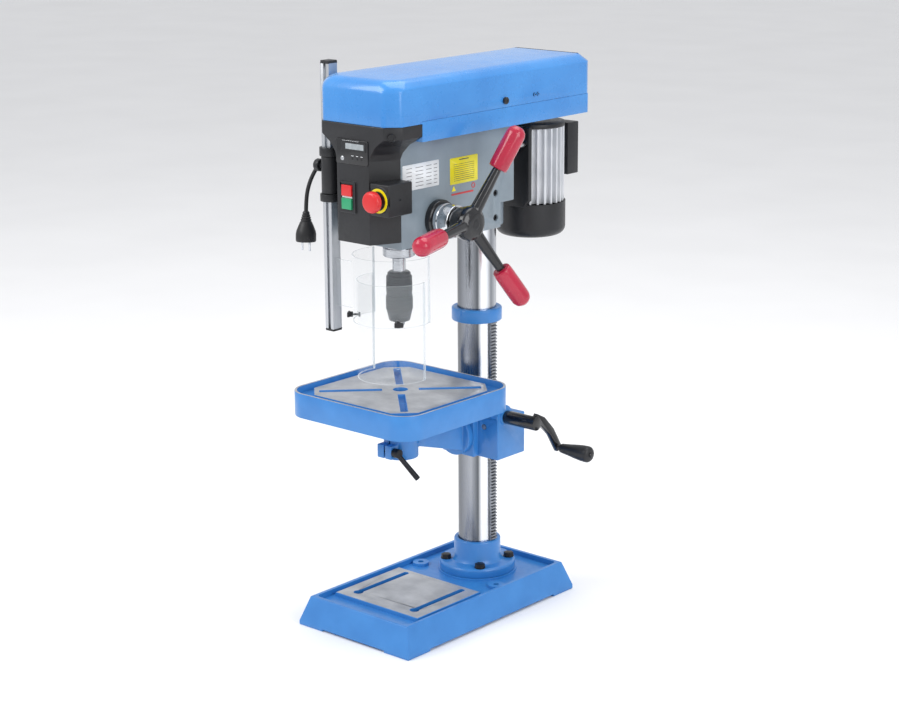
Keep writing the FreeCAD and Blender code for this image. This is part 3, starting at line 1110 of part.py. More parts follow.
def make_guard():
    rail_y = "column_y + rail_y"
    arm = box(("-rail_x - head_half", "25", "ear_high - ear_low"), ("rail_x", rail_y + " - 3", "ear_low"))
    ears = rod("swivel_d + 6", "ear_high - ear_low", ("rail_x", rail_y, "ear_low"))
    gap = rod("swivel_d + 8", "sleeve_high - sleeve_low + 2 * free_gap",
              ("rail_x", rail_y, "sleeve_low - free_gap"))
    wrist = box(("30", "swivel_d + 10", "sleeve_high - sleeve_low + 2 * free_gap"),
                ("rail_x - 8", rail_y + " - swivel_d / 2 - 5", "sleeve_low - free_gap"))
    bore = rod("sqrt(rail_wide * rail_wide + rail_deep * rail_deep) + 1", "200",
               ("rail_x", rail_y, "ear_low - 20"))
    node(cut(fuse(arm, ears), gap, wrist, bore), "guard_bracket")
    sleeve = rod("swivel_d", "sleeve_high - sleeve_low", ("rail_x", rail_y, "sleeve_low"))
    passage = box(("rail_wide + 2 * free_gap", "rail_deep + 2 * free_gap", "200"),
                  ("rail_x - rail_wide / 2 - free_gap", rail_y + " - rail_deep / 2 - free_gap",
                   "sleeve_low - 20"))
    screw_boss = rod("12", "8", ("rail_x - swivel_d / 2 + 2", rail_y, "860"), "left")
    screw_way = rod("6 + 2 * fit_gap", "30", ("rail_x", rail_y, "860"), "left")
    node(cut(fuse(sleeve, screw_boss), passage, screw_way), "guard_sleeve")
    knob = fuse(rod("6", "16", ("rail_x - rail_wide / 2 - free_gap", rail_y, "860"), "left"),
                rod("22", "11", ("rail_x - swivel_d / 2 - 6.5", rail_y, "860"), "left"))
    node(knob, "guard_lock_knob")
    rail = box(("rail_wide", "rail_deep", "rail_high - rail_low"),
               ("rail_x - rail_wide / 2", rail_y + " - rail_deep / 2", "rail_low"))
    grooves = []
    for side in (-1, 1):
        grooves.append(box(("6", "5.5", "600"), ("rail_x - 3",
                                                 rail_y + " + %d * (rail_deep / 2) - %s" % (side,
                            "5" if side > 0 else "0.5"), "rail_low - 10")))
    low_cap = box(("rail_wide", "rail_deep", "4"), ("rail_x - rail_wide / 2", rail_y + " - rail_deep / 2",
                                                    "rail_low - 4"))
    high_cap = box(("rail_wide", "rail_deep", "5"), ("rail_x - rail_wide / 2", rail_y + " - rail_deep / 2",
                                                     "rail_high"))
    node(group(cut(rail, *grooves), low_cap, high_cap), "guard_rail")
    shell = ring_sector("shield_r", "shield_wall", "shield_low", "shield_high", 160, 380)
    tabs = box(("shield_x - shield_r + 26 - rail_x - rail_wide / 2 - free_gap", "5", "86"),
               ("rail_x + rail_wide / 2 + free_gap", rail_y + " - 2.5", "shield_high - 100"))
    hold = cut(tabs, rod("2 * shield_r - 2", "400", ("shield_x", "column_y + shield_y", "shield_low - 50")))
    pin_ways = [turned(rod("4 + 4 * fit_gap", "40", ("lower_r - 10", "0", "shield_low + 8"), "right"),
                       FreeCAD.Rotation(Z, angle), ("shield_x", "column_y + shield_y",
                                                    "0")) for angle in (215, 320)]
    node(cut(fuse(shell, hold), *pin_ways), "guard_upper")
    lower = ring_sector("lower_r", "shield_wall", "lower_low", "lower_high", 165, 375)
    slots = []
    for angle in (215, 320):
        slot = box(("20", "5", "90"), ("lower_r - 12", "-2.5", "shield_low - 77"))
        slots.append(turned(slot, FreeCAD.Rotation(Z, angle), ("shield_x", "column_y + shield_y", "0")))
    node(cut(lower, *slots), "guard_lower")
    knobs = []
    for angle in (215, 320):
        pin = rod("4", "shield_r - lower_r + 14", ("lower_r - shield_wall - 3", "0", "shield_low + 8"),
                  "right")
        wing = box(("4", "16", "9"), ("shield_r + 6", "-8", "shield_low + 3.5"))
        base = rod("10", "6", ("shield_r + free_gap", "0", "shield_low + 8"), "right")
        inner = rod("9", "3", ("lower_r - shield_wall - 3.4", "0", "shield_low + 8"), "right")
        knobs.append(turned(fuse(pin, wing, base, inner), FreeCAD.Rotation(Z, angle),
                            ("shield_x", "column_y + shield_y", "0")))
    node(group(*knobs), "guard_knobs")


# ---------------------------------------------------------------- mains cord
CORD_POINTS = [(-84.3, 0, 0), (-106, 0, 0), (-131, -8, -5), (-152, -20, -20), (-165, -32, -42),
               (-174, -42, -68),
               (-178, -48, -96), (-177, -50, -122)]


def make_cord():
    start = FreeCAD.Vector(0, value("column_y + cord_y"), value("cord_z"))
    spots = [start + FreeCAD.Vector(*point) for point in CORD_POINTS]
    edges = []
    before = spots[0]
    for index in range(1, len(spots) - 1):
        a, b, c = spots[index - 1], spots[index], spots[index + 1]
        to_a, to_c = (a - b), (c - b)
        turn = math.pi - to_a.getAngle(to_c)
        shorter = min(to_a.Length, to_c.Length)
        reach = 0.45 * shorter
        radius = reach / math.tan(turn / 2)
        begin = b + to_a.normalize() * reach
        finish = b + to_c.normalize() * reach
        middle_way = (begin + finish) * 0.5 - b
        centre_far = radius / math.cos(turn / 2)
        bulge = b + middle_way.normalize() * (centre_far - radius)
        edges.append(Part.LineSegment(before, begin).toShape())
        edges.append(Part.Arc(begin, bulge, finish).toShape())
        before = finish
    edges.append(Part.LineSegment(before, spots[-1]).toShape())
    path = Part.Wire(edges)
    circle = Part.Wire([Part.makeCircle(value("cord_d") / 2, spots[0], (spots[1] - spots[0]).normalize())])
    tube = path.makePipeShell([circle], True, True)
    node(shaped(tube), "cord")
    way = (spots[-1] - spots[-2]).normalize()
    hold = FreeCAD.Rotation(Z, way)
    cuff = taper("cord_d + 5", "22", "22", ("0", "0", "0"))
    shell = taper("24", "38", "18", ("0", "0", "20"))
    face = rod("38", "20", ("0", "0", "36"))
    pins = [rod("4.8", "19", ("9.5 * %d" % side, "0", "54")) for side in (-1, 1)]
    whole = fuse(cuff, shell, face, *pins)
    plug = turned(whole, hold, ("%.4f" % spots[-1].x, "column_y + cord_y + %.4f" % CORD_POINTS[-1][1],
                                "cord_z + %.4f" % CORD_POINTS[-1][2]))
    node(plug, "plug")
    gland_at = ("-head_half", "column_y + cord_y", "cord_z")
    gland = fuse(rod("gland_d + 6", "5", gland_at, "left"), taper("gland_d", "cord_d + 2.5", "gland_long",
                                                                  gland_at, "left"))
    return node(gland, "cord_gland")


make_base()
make_column_flange()
make_flange_bolts()
make_column()
make_rack()
make_rack_collar()
make_lift_bracket()
make_lift_gear()
make_lift_worm()
make_crank()
make_crank_grip()
make_column_lock()
make_table_arm()
make_table()
make_table_clamp()
make_head()
make_quill()
make_quill_bearings()
make_spindle()
make_chuck()
make_feed()
make_tray()
make_lid()
make_pulleys()
make_belts()
make_front_cover()
make_controls()
make_motor()
make_motor_parts()
make_guard()
make_cord()
doc.recompute()

failed = [thing.Label for thing in doc.Objects if "Invalid" in thing.State or "Error" in thing.State]
if failed:
    raise RuntimeError("these objects failed: " + ", ".join(failed))
unsound = [piece.Label for piece in NODES
           if piece.Shape.isNull() or not piece.Shape.isValid() or not piece.Shape.Solids]
if unsound:
    raise RuntimeError("no sound solid in " + ", ".join(unsound))
if len({piece.Label for piece in NODES}) != len(NODES) or len(NODES) > 60:
    raise RuntimeError("sub-part names must differ and be at most 60")
os.makedirs("parts", exist_ok=True)
for piece in NODES:
    piece.Shape.exportStep("parts/%s.step" % piece.Label)
print(len(NODES), "sub-parts written")
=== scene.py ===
import json
import math

import bmesh
import bpy
from mathutils import Euler, Matrix, Vector


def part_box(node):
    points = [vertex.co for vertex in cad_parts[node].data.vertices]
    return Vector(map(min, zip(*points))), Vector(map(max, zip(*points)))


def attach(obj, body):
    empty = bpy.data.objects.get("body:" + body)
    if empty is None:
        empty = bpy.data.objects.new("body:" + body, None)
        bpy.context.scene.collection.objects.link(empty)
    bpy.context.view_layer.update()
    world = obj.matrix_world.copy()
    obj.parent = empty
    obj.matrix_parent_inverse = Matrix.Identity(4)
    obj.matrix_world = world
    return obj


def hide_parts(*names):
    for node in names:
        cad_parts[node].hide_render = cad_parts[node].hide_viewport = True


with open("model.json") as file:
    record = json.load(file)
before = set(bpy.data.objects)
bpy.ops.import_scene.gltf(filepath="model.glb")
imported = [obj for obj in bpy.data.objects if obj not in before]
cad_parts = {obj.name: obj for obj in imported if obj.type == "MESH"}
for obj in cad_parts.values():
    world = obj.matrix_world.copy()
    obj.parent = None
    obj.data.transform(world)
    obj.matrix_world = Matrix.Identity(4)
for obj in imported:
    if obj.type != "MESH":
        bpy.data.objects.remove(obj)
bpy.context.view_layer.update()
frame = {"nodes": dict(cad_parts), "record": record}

bl_info = {
    "name": "Bench Drill Press",
    "version": (1, 0, 0),
    "blender": (4, 5, 0),
    "location": "3D View > Sidebar > Drill Press",
    "description": "Builds the finished surfaces of a bench drill press around its design frame",
    "category": "Object",
}

MM = 0.001


# ---------------------------------------------------------------- places that come from the frame
def middle(node):
    """The middle of a CAD node's box."""
    low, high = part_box(node)
    return (low + high) / 2


COLUMN = middle("column")
SPINDLE = middle("spindle")
FEED = middle("depth_ring")
MOTOR = middle("motor_pulley")
BODY_OF = {node: body for body, nodes in frame["record"]["behaviour"]["bodies"].items() for node in nodes}
SLOT_OF = {part["node"]: part["material_slot"] for part in frame["record"]["subparts"]}


# ---------------------------------------------------------------- nodes and materials
def linear(code):
    """An sRGB hex colour as linear red, green, blue and alpha."""
    parts = [int(code[place:place + 2], 16) / 255 for place in (1, 3, 5)]
    return [part / 12.92 if part <= 0.04045 else ((part + 0.055) / 1.055) ** 2.4 for part in parts] + [1.0]


def add(tree, kind, inputs=None, **settings):
    """Add a node, set its properties, and fill its inputs with numbers or with other nodes' outputs."""
    made = tree.nodes.new(kind)
    for name, setting in settings.items():
        setattr(made, name, setting)
    for socket, feed in (inputs or {}).items():
        if isinstance(feed, bpy.types.NodeSocket):
            tree.links.new(feed, made.inputs[socket])
        else:
            made.inputs[socket].default_value = feed
    return made


def blank(name, sockets):
    """A material with one surface shader whose sockets are set."""
    material = bpy.data.materials.new(name)
    material.use_nodes = True
    tree = material.node_tree
    shader = tree.nodes["Principled BSDF"]
    for socket, setting in sockets.items():
        shader.inputs[socket].default_value = setting
    return material, tree, shader


def grain(tree, size, detail=3.0, stretch=(1, 1, 1)):
    """Noise whose patches are about size across; a stretch under 1 draws them out along that axis."""
    place = add(tree, "ShaderNodeTexCoord").outputs["Object"]
    drawn = add(tree, "ShaderNodeMapping", {"Vector": place, "Scale": stretch}).outputs["Vector"]
    noise = add(tree, "ShaderNodeTexNoise", {"Vector": drawn, "Scale": 1 / size, "Detail": detail})
    return noise.outputs["Fac"]


def span(tree, amount, low, high):
    """Noise, which lies mostly between 0.3 and 0.7, spread over a range."""
    spread = add(tree, "ShaderNodeMapRange", {"Value": amount, "From Min": 0.3, "From Max": 0.7,
                                              "To Min": low, "To Max": high})
    return spread.outputs["Result"]


def tint(tree, shader, amount, dark, light):
    """Base Color between two shades, mixed by noise."""
    mix = add(tree, "ShaderNodeMix", {0: span(tree, amount, 0, 1), 6: linear(dark), 7: linear(light)},
              data_type="RGBA")
    tree.links.new(mix.outputs[2], shader.inputs["Base Color"])


def relief(tree, shader, height, depth):
    """Surface relief of a real depth in metres."""
    bump = add(tree, "ShaderNodeBump", {"Height": height, "Distance": depth, "Strength": 1.0})
    tree.links.new(bump.outputs["Normal"], shader.inputs["Normal"])


def enamel_on_cast_iron(name, dark, light):
    """Enamel sprayed on sand-cast iron: glossy, over a soft pebble that the sand leaves, 2 to 3 mm across."""
    material, tree, shader = blank(name, {"IOR": 1.5, "Coat Weight": 0.25, "Coat Roughness": 0.12})
    tint(tree, shader, grain(tree, 60 * MM, 4), dark, light)
    tree.links.new(span(tree, grain(tree, 9 * MM), 0.3, 0.46), shader.inputs["Roughness"])
    relief(tree, shader, grain(tree, 2.6 * MM, 2), 0.00009)
    return material


def enamel_on_sheet_steel(name, dark, light):
    """Enamel on pressed steel: smooth, with a faint orange peel about 5 mm across."""
    material, tree, shader = blank(name, {"IOR": 1.5, "Coat Weight": 0.45, "Coat Roughness": 0.08})
    tint(tree, shader, grain(tree, 90 * MM, 3), dark, light)
    tree.links.new(span(tree, grain(tree, 20 * MM), 0.24, 0.34), shader.inputs["Roughness"])
    relief(tree, shader, grain(tree, 5 * MM, 1), 0.00003)
    return material


def ground_cast_iron(name, stretch):
    """Iron ground flat: pale grey, with fine straight scratches one way and soft cloudy patches."""
    material, tree, shader = blank(name, {"Metallic": 0.85})
    tint(tree, shader, grain(tree, 45 * MM, 5), "#a9acb2", "#cfd1d5")
    scratch = grain(tree, 1.2 * MM, 4, stretch)
    tree.links.new(span(tree, scratch, 0.34, 0.5), shader.inputs["Roughness"])
    relief(tree, shader, scratch, 0.00002)
    return material


def drawn_steel(name, dark, light, stretch, smooth, rough, depth=0.000008):
    """Steel drawn, turned or ground: bright, its tool marks drawn out one way, 0.8 mm apart so they show."""
    material, tree, shader = blank(name, {"Metallic": 1.0})
    tint(tree, shader, grain(tree, 30 * MM, 3, stretch), dark, light)
    marks = grain(tree, 0.8 * MM, 3, stretch)
    tree.links.new(span(tree, marks, smooth, rough), shader.inputs["Roughness"])
    relief(tree, shader, marks, depth)
    return material


def steel_tube_with_painted_reflections(name, axis):
    """Polished steel tube about an upright axis, with painted reflections: light and dark bands painted in
    its colour by angle.
    """
    material, tree, shader = blank(name, {"Metallic": 1.0})
    place = add(tree, "ShaderNodeTexCoord").outputs["Object"]
    out = add(tree, "ShaderNodeVectorMath", {0: place, 1: axis}, operation="SUBTRACT").outputs["Vector"]
    along = add(tree, "ShaderNodeSeparateXYZ", {"Vector": out}).outputs
    turn = add(tree, "ShaderNodeMath", {0: along["X"], 1: along["Y"]}, operation="ARCTAN2").outputs["Value"]
    share = add(tree, "ShaderNodeMapRange", {"Value": turn, "From Min": -math.pi, "From Max": math.pi})
    ramp = add(tree, "ShaderNodeValToRGB", {"Fac": share.outputs["Result"]})
    stops = ramp.color_ramp.elements
    # Painted reflections: light and dark bands of the surroundings, painted into the base colour by angle
    # round the axis.
    painted_reflection_bands = [(0.0, "#8d9096"), (0.1, "#5b5e63"), (0.2, "#a9acb2"), (0.3, "#cfd2d8"), (0.37, "#5a5d62"),
             (0.42, "#7d8086"), (0.5, "#b9bcc2"), (0.6, "#6d7076"), (0.7, "#c3c6cc"), (0.76, "#8a8d93"),
             (0.8, "#e8ebf0"), (0.85, "#eef0f4"), (0.88, "#5a5e62"), (0.94, "#a4a7ad"), (1.0, "#8d9096")]
    for number, (spot, shade) in enumerate(painted_reflection_bands):
        stop = stops[number] if number < 2 else stops.new(spot)
        stop.position = spot
        stop.color = linear(shade)
    tree.links.new(ramp.outputs["Color"], shader.inputs["Base Color"])
    marks = grain(tree, 0.8 * MM, 3, (1, 1, 0.02))
    tree.links.new(span(tree, marks, 0.2, 0.3), shader.inputs["Roughness"])
    relief(tree, shader, marks, 0.000008)
    return material


def black_oxide_steel(name):
    """Steel blued black in hot salts: dark, half gloss, a little uneven."""
    material, tree, shader = blank(name, {"Metallic": 0.6})
    tint(tree, shader, grain(tree, 14 * MM, 4), "#141518", "#27292e")
    tree.links.new(span(tree, grain(tree, 3 * MM), 0.3, 0.44), shader.inputs["Roughness"])
    relief(tree, shader, grain(tree, 1.0 * MM, 2), 0.00002)
    return material


def moulded_plastic(name, dark, light, smooth, rough, texture, depth, coat=0.0):
    """A moulding in ABS, nylon or vinyl, with the fine grain that its tool was etched with."""
    material, tree, shader = blank(name, {"IOR": 1.47, "Coat Weight": coat, "Coat Roughness": 0.1})
    tint(tree, shader, grain(tree, 50 * MM, 3), dark, light)
    tree.links.new(span(tree, grain(tree, 6 * MM), smooth, rough), shader.inputs["Roughness"])
    relief(tree, shader, grain(tree, texture, 2), depth)
    return material


def clear_polycarbonate(name, density):
    """Clear polycarbonate sheet: colourless and glossy; a cut edge is denser than a face."""
    material, tree, shader = blank(name, {"IOR": 1.5, "Alpha": density})
    tint(tree, shader, grain(tree, 60 * MM, 2), "#dfe9ee", "#eef4f7")
    tree.links.new(span(tree, grain(tree, 40 * MM, 3, (1, 1, 0.3)), 0.03, 0.08), shader.inputs["Roughness"])
    return material


def vinyl_label(name, dark, light):
    """Printed vinyl foil: flat colour under a clear, slightly uneven film."""
    material, tree, shader = blank(name, {"IOR": 1.46, "Coat Weight": 0.3, "Coat Roughness": 0.15})
    tint(tree, shader, grain(tree, 25 * MM, 2), dark, light)
    tree.links.new(span(tree, grain(tree, 8 * MM), 0.3, 0.42), shader.inputs["Roughness"])
    return material


def lit_glass(name):
    """The window of a liquid crystal counter: grey and glossy, a little uneven."""
    material, tree, shader = blank(name, {"IOR": 1.5, "Coat Weight": 0.8, "Coat Roughness": 0.05})
    tint(tree, shader, grain(tree, 12 * MM, 2), "#8b9296", "#a4abae")
    tree.links.new(span(tree, grain(tree, 1 * MM), 0.2, 0.3), shader.inputs["Roughness"])
    return material


def make_finishes():
    """Every finish of the machine, under the name of the material slot that it stands for or refines."""
    return {
        "blue_iron": enamel_on_cast_iron("Blue_enamel_on_cast_iron", "#2a74ba", "#3580c6"),
        "blue_sheet": enamel_on_sheet_steel("Blue_enamel_on_sheet_steel", "#2f7cc4", "#3a88cf"),
        "grey_iron": enamel_on_cast_iron("Grey_enamel_on_cast_iron", "#73808a", "#7f8c96"),
        "ground_iron": ground_cast_iron("Ground_cast_iron", (0.04, 1, 1)),
        "bare_iron": ground_cast_iron("Bare_cast_iron_rim", (1, 1, 1)),
        "column_steel": steel_tube_with_painted_reflections("Steel_tube_with_painted_reflections", COLUMN),
        "turned_steel": drawn_steel("Turned_steel", "#a9acb1", "#c8cbd0", (0.02, 0.02, 1), 0.18, 0.3),
        "cut_steel": drawn_steel("Milled_steel", "#84878c", "#a3a6ab", (1, 1, 1), 0.3, 0.45),
        "chrome": drawn_steel("Chromed_steel", "#c6c9ce", "#dcdfe3", (1, 0.02, 0.02), 0.06, 0.12, 0.000002),
        "chuck_steel": drawn_steel("Ground_chuck_steel", "#1f2025", "#34353b", (0.02, 0.02, 1), 0.24, 0.36),
        "black_steel": black_oxide_steel("Blackened_steel"),
        "aluminium": drawn_steel("Anodised_aluminium", "#b4b7bb", "#c9ccd0", (1, 1, 0.02), 0.3, 0.42),
        "cast_aluminium": drawn_steel("Cast_aluminium", "#a5a8ac", "#bfc2c6", (1, 1, 1), 0.34, 0.5, 0.00003),
        "silver_paint": moulded_plastic("Silver_paint_on_aluminium", "#c2c5ca", "#d8dade",
                                        0.3, 0.4, 2 * MM, 0.00002),
        "black_abs": moulded_plastic("Black_ABS", "#17181b", "#1e1f23", 0.36, 0.5, 0.9 * MM, 0.00003),
        "gloss_black": moulded_plastic("Gloss_black_phenolic", "#101114", "#17181c",
                                       0.16, 0.26, 4 * MM, 0.00002, 0.3),
        "black_paint": moulded_plastic("Black_paint_on_steel", "#141518", "#1b1c20",
                                       0.34, 0.46, 2 * MM, 0.00003),
        "red_vinyl": moulded_plastic("Red_dipped_vinyl", "#9e1030", "#b3173a",
                                     0.18, 0.28, 6 * MM, 0.00003, 0.4),
        "signal_red": moulded_plastic("Red_nylon", "#c01a1e", "#cf2427", 0.28, 0.38, 1 * MM, 0.00001, 0.2),
        "signal_green": moulded_plastic("Green_nylon", "#1d8a55", "#26996a",
                                        0.28, 0.38, 1 * MM, 0.00001, 0.2),
        "signal_yellow": vinyl_label("Yellow_vinyl_foil", "#e9d90c", "#f3e61a"),
        "white_foil": vinyl_label("White_vinyl_foil", "#e4e8ec", "#f0f2f4"),
        "ink": vinyl_label("Black_print", "#26282c", "#33363b"),
        "red_ink": vinyl_label("Red_print", "#b3262a", "#c2343a"),
        "white_plastic": moulded_plastic("White_nylon", "#d9dcdf", "#e6e8ea", 0.3, 0.4, 1 * MM, 0.00001),
        "rubber": moulded_plastic("Black_PVC_sheath", "#131315", "#1b1b1e", 0.42, 0.56, 1.2 * MM, 0.00002),
        "belt_rubber": moulded_plastic("Black_belt_rubber", "#1c1c1e", "#262629",
                                       0.6, 0.75, 1.5 * MM, 0.00008),
        "clear": clear_polycarbonate("Clear_polycarbonate", 0.05),
        "clear_edge": clear_polycarbonate("Cut_edge_of_polycarbonate", 0.6),
        "counter_glass": lit_glass("Counter_glass"),
    }


FINISH = make_finishes()


# ---------------------------------------------------------------- meshes
def piece_from(bm, name, *finishes, sharp=40):
    """A finished object from a bmesh: smooth except over sharp edges, with these finishes in its slots."""
    limit = math.radians(sharp)
    for face in bm.faces:
        face.smooth = True
    for edge in bm.edges:
        edge.smooth = len(edge.link_faces) == 2 and edge.calc_face_angle(0) < limit
    mesh = bpy.data.meshes.new(name)
    bm.to_mesh(mesh)
    bm.free()
    for finish in finishes:
        mesh.materials.append(FINISH[finish])
    piece = bpy.data.objects.new(name, mesh)
    bpy.context.scene.collection.objects.link(piece)
    return piece


def settled(piece):
    """Apply a piece's modifiers, so that only its finished mesh is left."""
    bpy.context.view_layer.update()
    evaluated = piece.evaluated_get(bpy.context.evaluated_depsgraph_get())
    mesh = bpy.data.meshes.new_from_object(evaluated)
    piece.modifiers.clear()
    piece.data = mesh
    return piece


def eased(node, name, width, *finishes, rule=None, segments=2, sharp=35, joined=True):
    """A CAD node's shape with its edges rounded by width, of which rule gives each edge its share.

    Flat triangles are joined first; joined=False keeps them, because the pierced base shades in dark
    patches when they are joined."""
    bm = bmesh.new()
    bm.from_mesh(frame["nodes"][node].data)
    bmesh.ops.remove_doubles(bm, verts=bm.verts, dist=0.02 * MM)
    bmesh.ops.dissolve_degenerate(bm, edges=bm.edges, dist=0.01 * MM)
    if joined:
        bmesh.ops.dissolve_limit(bm, angle_limit=math.radians(0.8), verts=bm.verts, edges=bm.edges)
    layer = bm.edges.layers.float.new("bevel_weight_edge")
    for edge in bm.edges:
        if len(edge.link_faces) == 2 and edge.calc_face_angle(0) > math.radians(sharp):
            edge[layer] = rule(edge) if rule else 1.0
    piece = piece_from(bm, name, *finishes)
    bevel = piece.modifiers.new("Rounded edges", "BEVEL")
    bevel.width = width
    bevel.segments = segments
    bevel.limit_method = "WEIGHT"
    bevel.use_clamp_overlap = False
    bevel.harden_normals = False
    settled(piece)
    smooth_over(piece, sharp)
    if not joined:
        piece.modifiers.new("Flat faces stay flat", "WEIGHTED_NORMAL").keep_sharp = True
        settled(piece)
    return piece


def smooth_over(piece, sharp):
    """Shade a mesh smooth except where its faces meet at more than sharp degrees."""
    bm = bmesh.new()
    bm.from_mesh(piece.data)
    for face in bm.faces:
        face.smooth = True
    for edge in bm.edges:
        edge.smooth = len(edge.link_faces) == 2 and edge.calc_face_angle(0) < math.radians(sharp)
    bm.to_mesh(piece.data)
    bm.free()


def stand(piece, body, slot, *nodes):
    """A finished piece rides on a body and stands for CAD nodes, which are hidden; slot is not used."""
    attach(piece, body)
    if nodes:
        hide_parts(*nodes)
    return piece


def stand_for(piece, node):
    """A finished piece stands for one CAD node, on the node's own body."""
    return stand(piece, BODY_OF[node], SLOT_OF[node], node)


def refined(node, name, width, *finishes, **rules):
    """A CAD node's eased shape in the node's place."""
    return stand_for(eased(node, name, width, *finishes, **rules), node)


def turned_to(bm, at, axis, start=0):
    """Move what was made along +Z from the origin, so that it grows along axis from a point."""
    turn = Vector((0, 0, 1)).rotation_difference(Vector(axis)).to_matrix().to_4x4()
    bm.verts.ensure_lookup_table()
    bmesh.ops.transform(bm, matrix=Matrix.Translation(at) @ turn, verts=bm.verts[start:])


def lathe(bm, profile, at, axis=(0, 0, 1), steps=48, material=0):
    """Turn a profile of (radius, height) points about an axis; a radius of 0 closes it to a pole."""
    start = len(bm.verts)
    rings = []
    for radius, height in profile:
        if radius < 1e-6:
            rings.append([bm.verts.new((0, 0, height))])
        else:
            rings.append([bm.verts.new((radius * math.cos(2 * math.pi * step / steps),
                                        radius * math.sin(2 * math.pi * step / steps), height))
                          for step in range(steps)])
    for low, high in zip(rings, rings[1:]):
        for step in range(steps):
            after = (step + 1) % steps
            corners = [low[step % len(low)], low[after % len(low)],
                       high[after % len(high)], high[step % len(high)]]
            corners = [corner for place, corner in enumerate(corners) if corner not in corners[:place]]
            if len(corners) > 2:
                bm.faces.new(corners).material_index = material
    turned_to(bm, at, axis, start)
    return bm


def arc(centre, radius, first, last, steps=6):
    """Points round a quarter or any other part of a circle, in a profile."""
    return [(centre[0] + radius * math.cos(math.radians(first + (last - first) * step / steps)),
             centre[1] + radius * math.sin(math.radians(first + (last - first) * step / steps)))
            for step in range(steps + 1)]


def rounded(corners, radius, steps=6):
    """A flat outline whose corners are rounded by arcs; radius is one number or one for each corner."""
    outline = []
    count = len(corners)
    for place, corner in enumerate(corners):
        here = Vector(corner)
        back = (Vector(corners[place - 1]) - here).normalized()
        ahead = (Vector(corners[(place + 1) % count]) - here).normalized()
        bend = radius[place] if hasattr(radius, "__len__") else radius
        half = back.angle(ahead) / 2
        reach = bend / math.tan(half)
        centre = here + (back + ahead).normalized() * (bend / math.sin(half))
        begin, end = here + back * reach - centre, here + ahead * reach - centre
        for step in range(steps + 1):
            outline.append(tuple(centre + begin.normalized().slerp(end.normalized(), step / steps) * bend))
    return outline


def skin(bm, rings, closed_low=True, closed_high=True, material=0):
    """Join rings of as many points each into one surface, with a face over each closed end."""
    layers = [[bm.verts.new(point) for point in ring] for ring in rings]
    count = len(layers[0])
    for low, high in zip(layers, layers[1:]):
        for step in range(count):
            after = (step + 1) % count
            bm.faces.new((low[step], low[after], high[after], high[step])).material_index = material
    if closed_low:
        bm.faces.new(layers[0][::-1]).material_index = material
    if closed_high:
        bm.faces.new(layers[-1]).material_index = material
    return layers


def outward(bm):
    """Turn every face of a bmesh outward."""
    bmesh.ops.recalc_face_normals(bm, faces=bm.faces)
    return bm


def slab(bm, low, high, radius=0.0, axis="z", material=0, edge=0.0):
    """A block between two corners, its corners rounded as seen along an axis, its end edges eased."""
    order = {"x": (1, 2, 0), "y": (2, 0, 1), "z": (0, 1, 2)}[axis]
    a, b, c = order
    flat = [(low[a], low[b]), (high[a], low[b]), (high[a], high[b]), (low[a], high[b])]
    rings = []
    steps = 3
    turns = [math.pi / 2 * step / steps for step in range(steps + 1)]
    levels = [(edge * (1 - math.sin(turn)), low[c] + edge * (1 - math.cos(turn)))
              for turn in turns] if edge else [(0, low[c])]
    levels += [(inset, high[c] - (lift - low[c])) for inset, lift in reversed(levels)]
    for inset, lift in levels:
        shrunk = [(x + inset * (1 if x == low[a] else -1), y + inset * (1 if y == low[b] else -1))
                  for x, y in flat]
        ring = []
        for x, y in rounded(shrunk, max(radius - inset, 0.05 * MM)):
            spot = [0, 0, 0]
            spot[a], spot[b], spot[c] = x, y, lift
            ring.append(spot)
        rings.append(ring)
    skin(bm, rings, material=material)
    return bm


def turned(name, finish, profile, at, axis=(0, 0, 1), steps=48, sharp=40):
    """A finished piece turned from a profile, its faces outward."""
    return piece_from(outward(lathe(bmesh.new(), profile, at, axis, steps)), name, finish, sharp=sharp)


def block(name, finish, low, high, radius, axis, edge=0.0):
    """A finished block between two corners, its faces outward."""
    return piece_from(outward(slab(bmesh.new(), low, high, radius, axis, edge=edge)), name, finish)


def mm(*points):
    """A profile given in millimetres."""
    return [(radius * MM, height * MM) for radius, height in points]


def painted(piece, chooser):
    """Give each face the slot that chooser names from its centre and normal."""
    for face in piece.data.polygons:
        face.material_index = chooser(face.center, face.normal)
    return piece


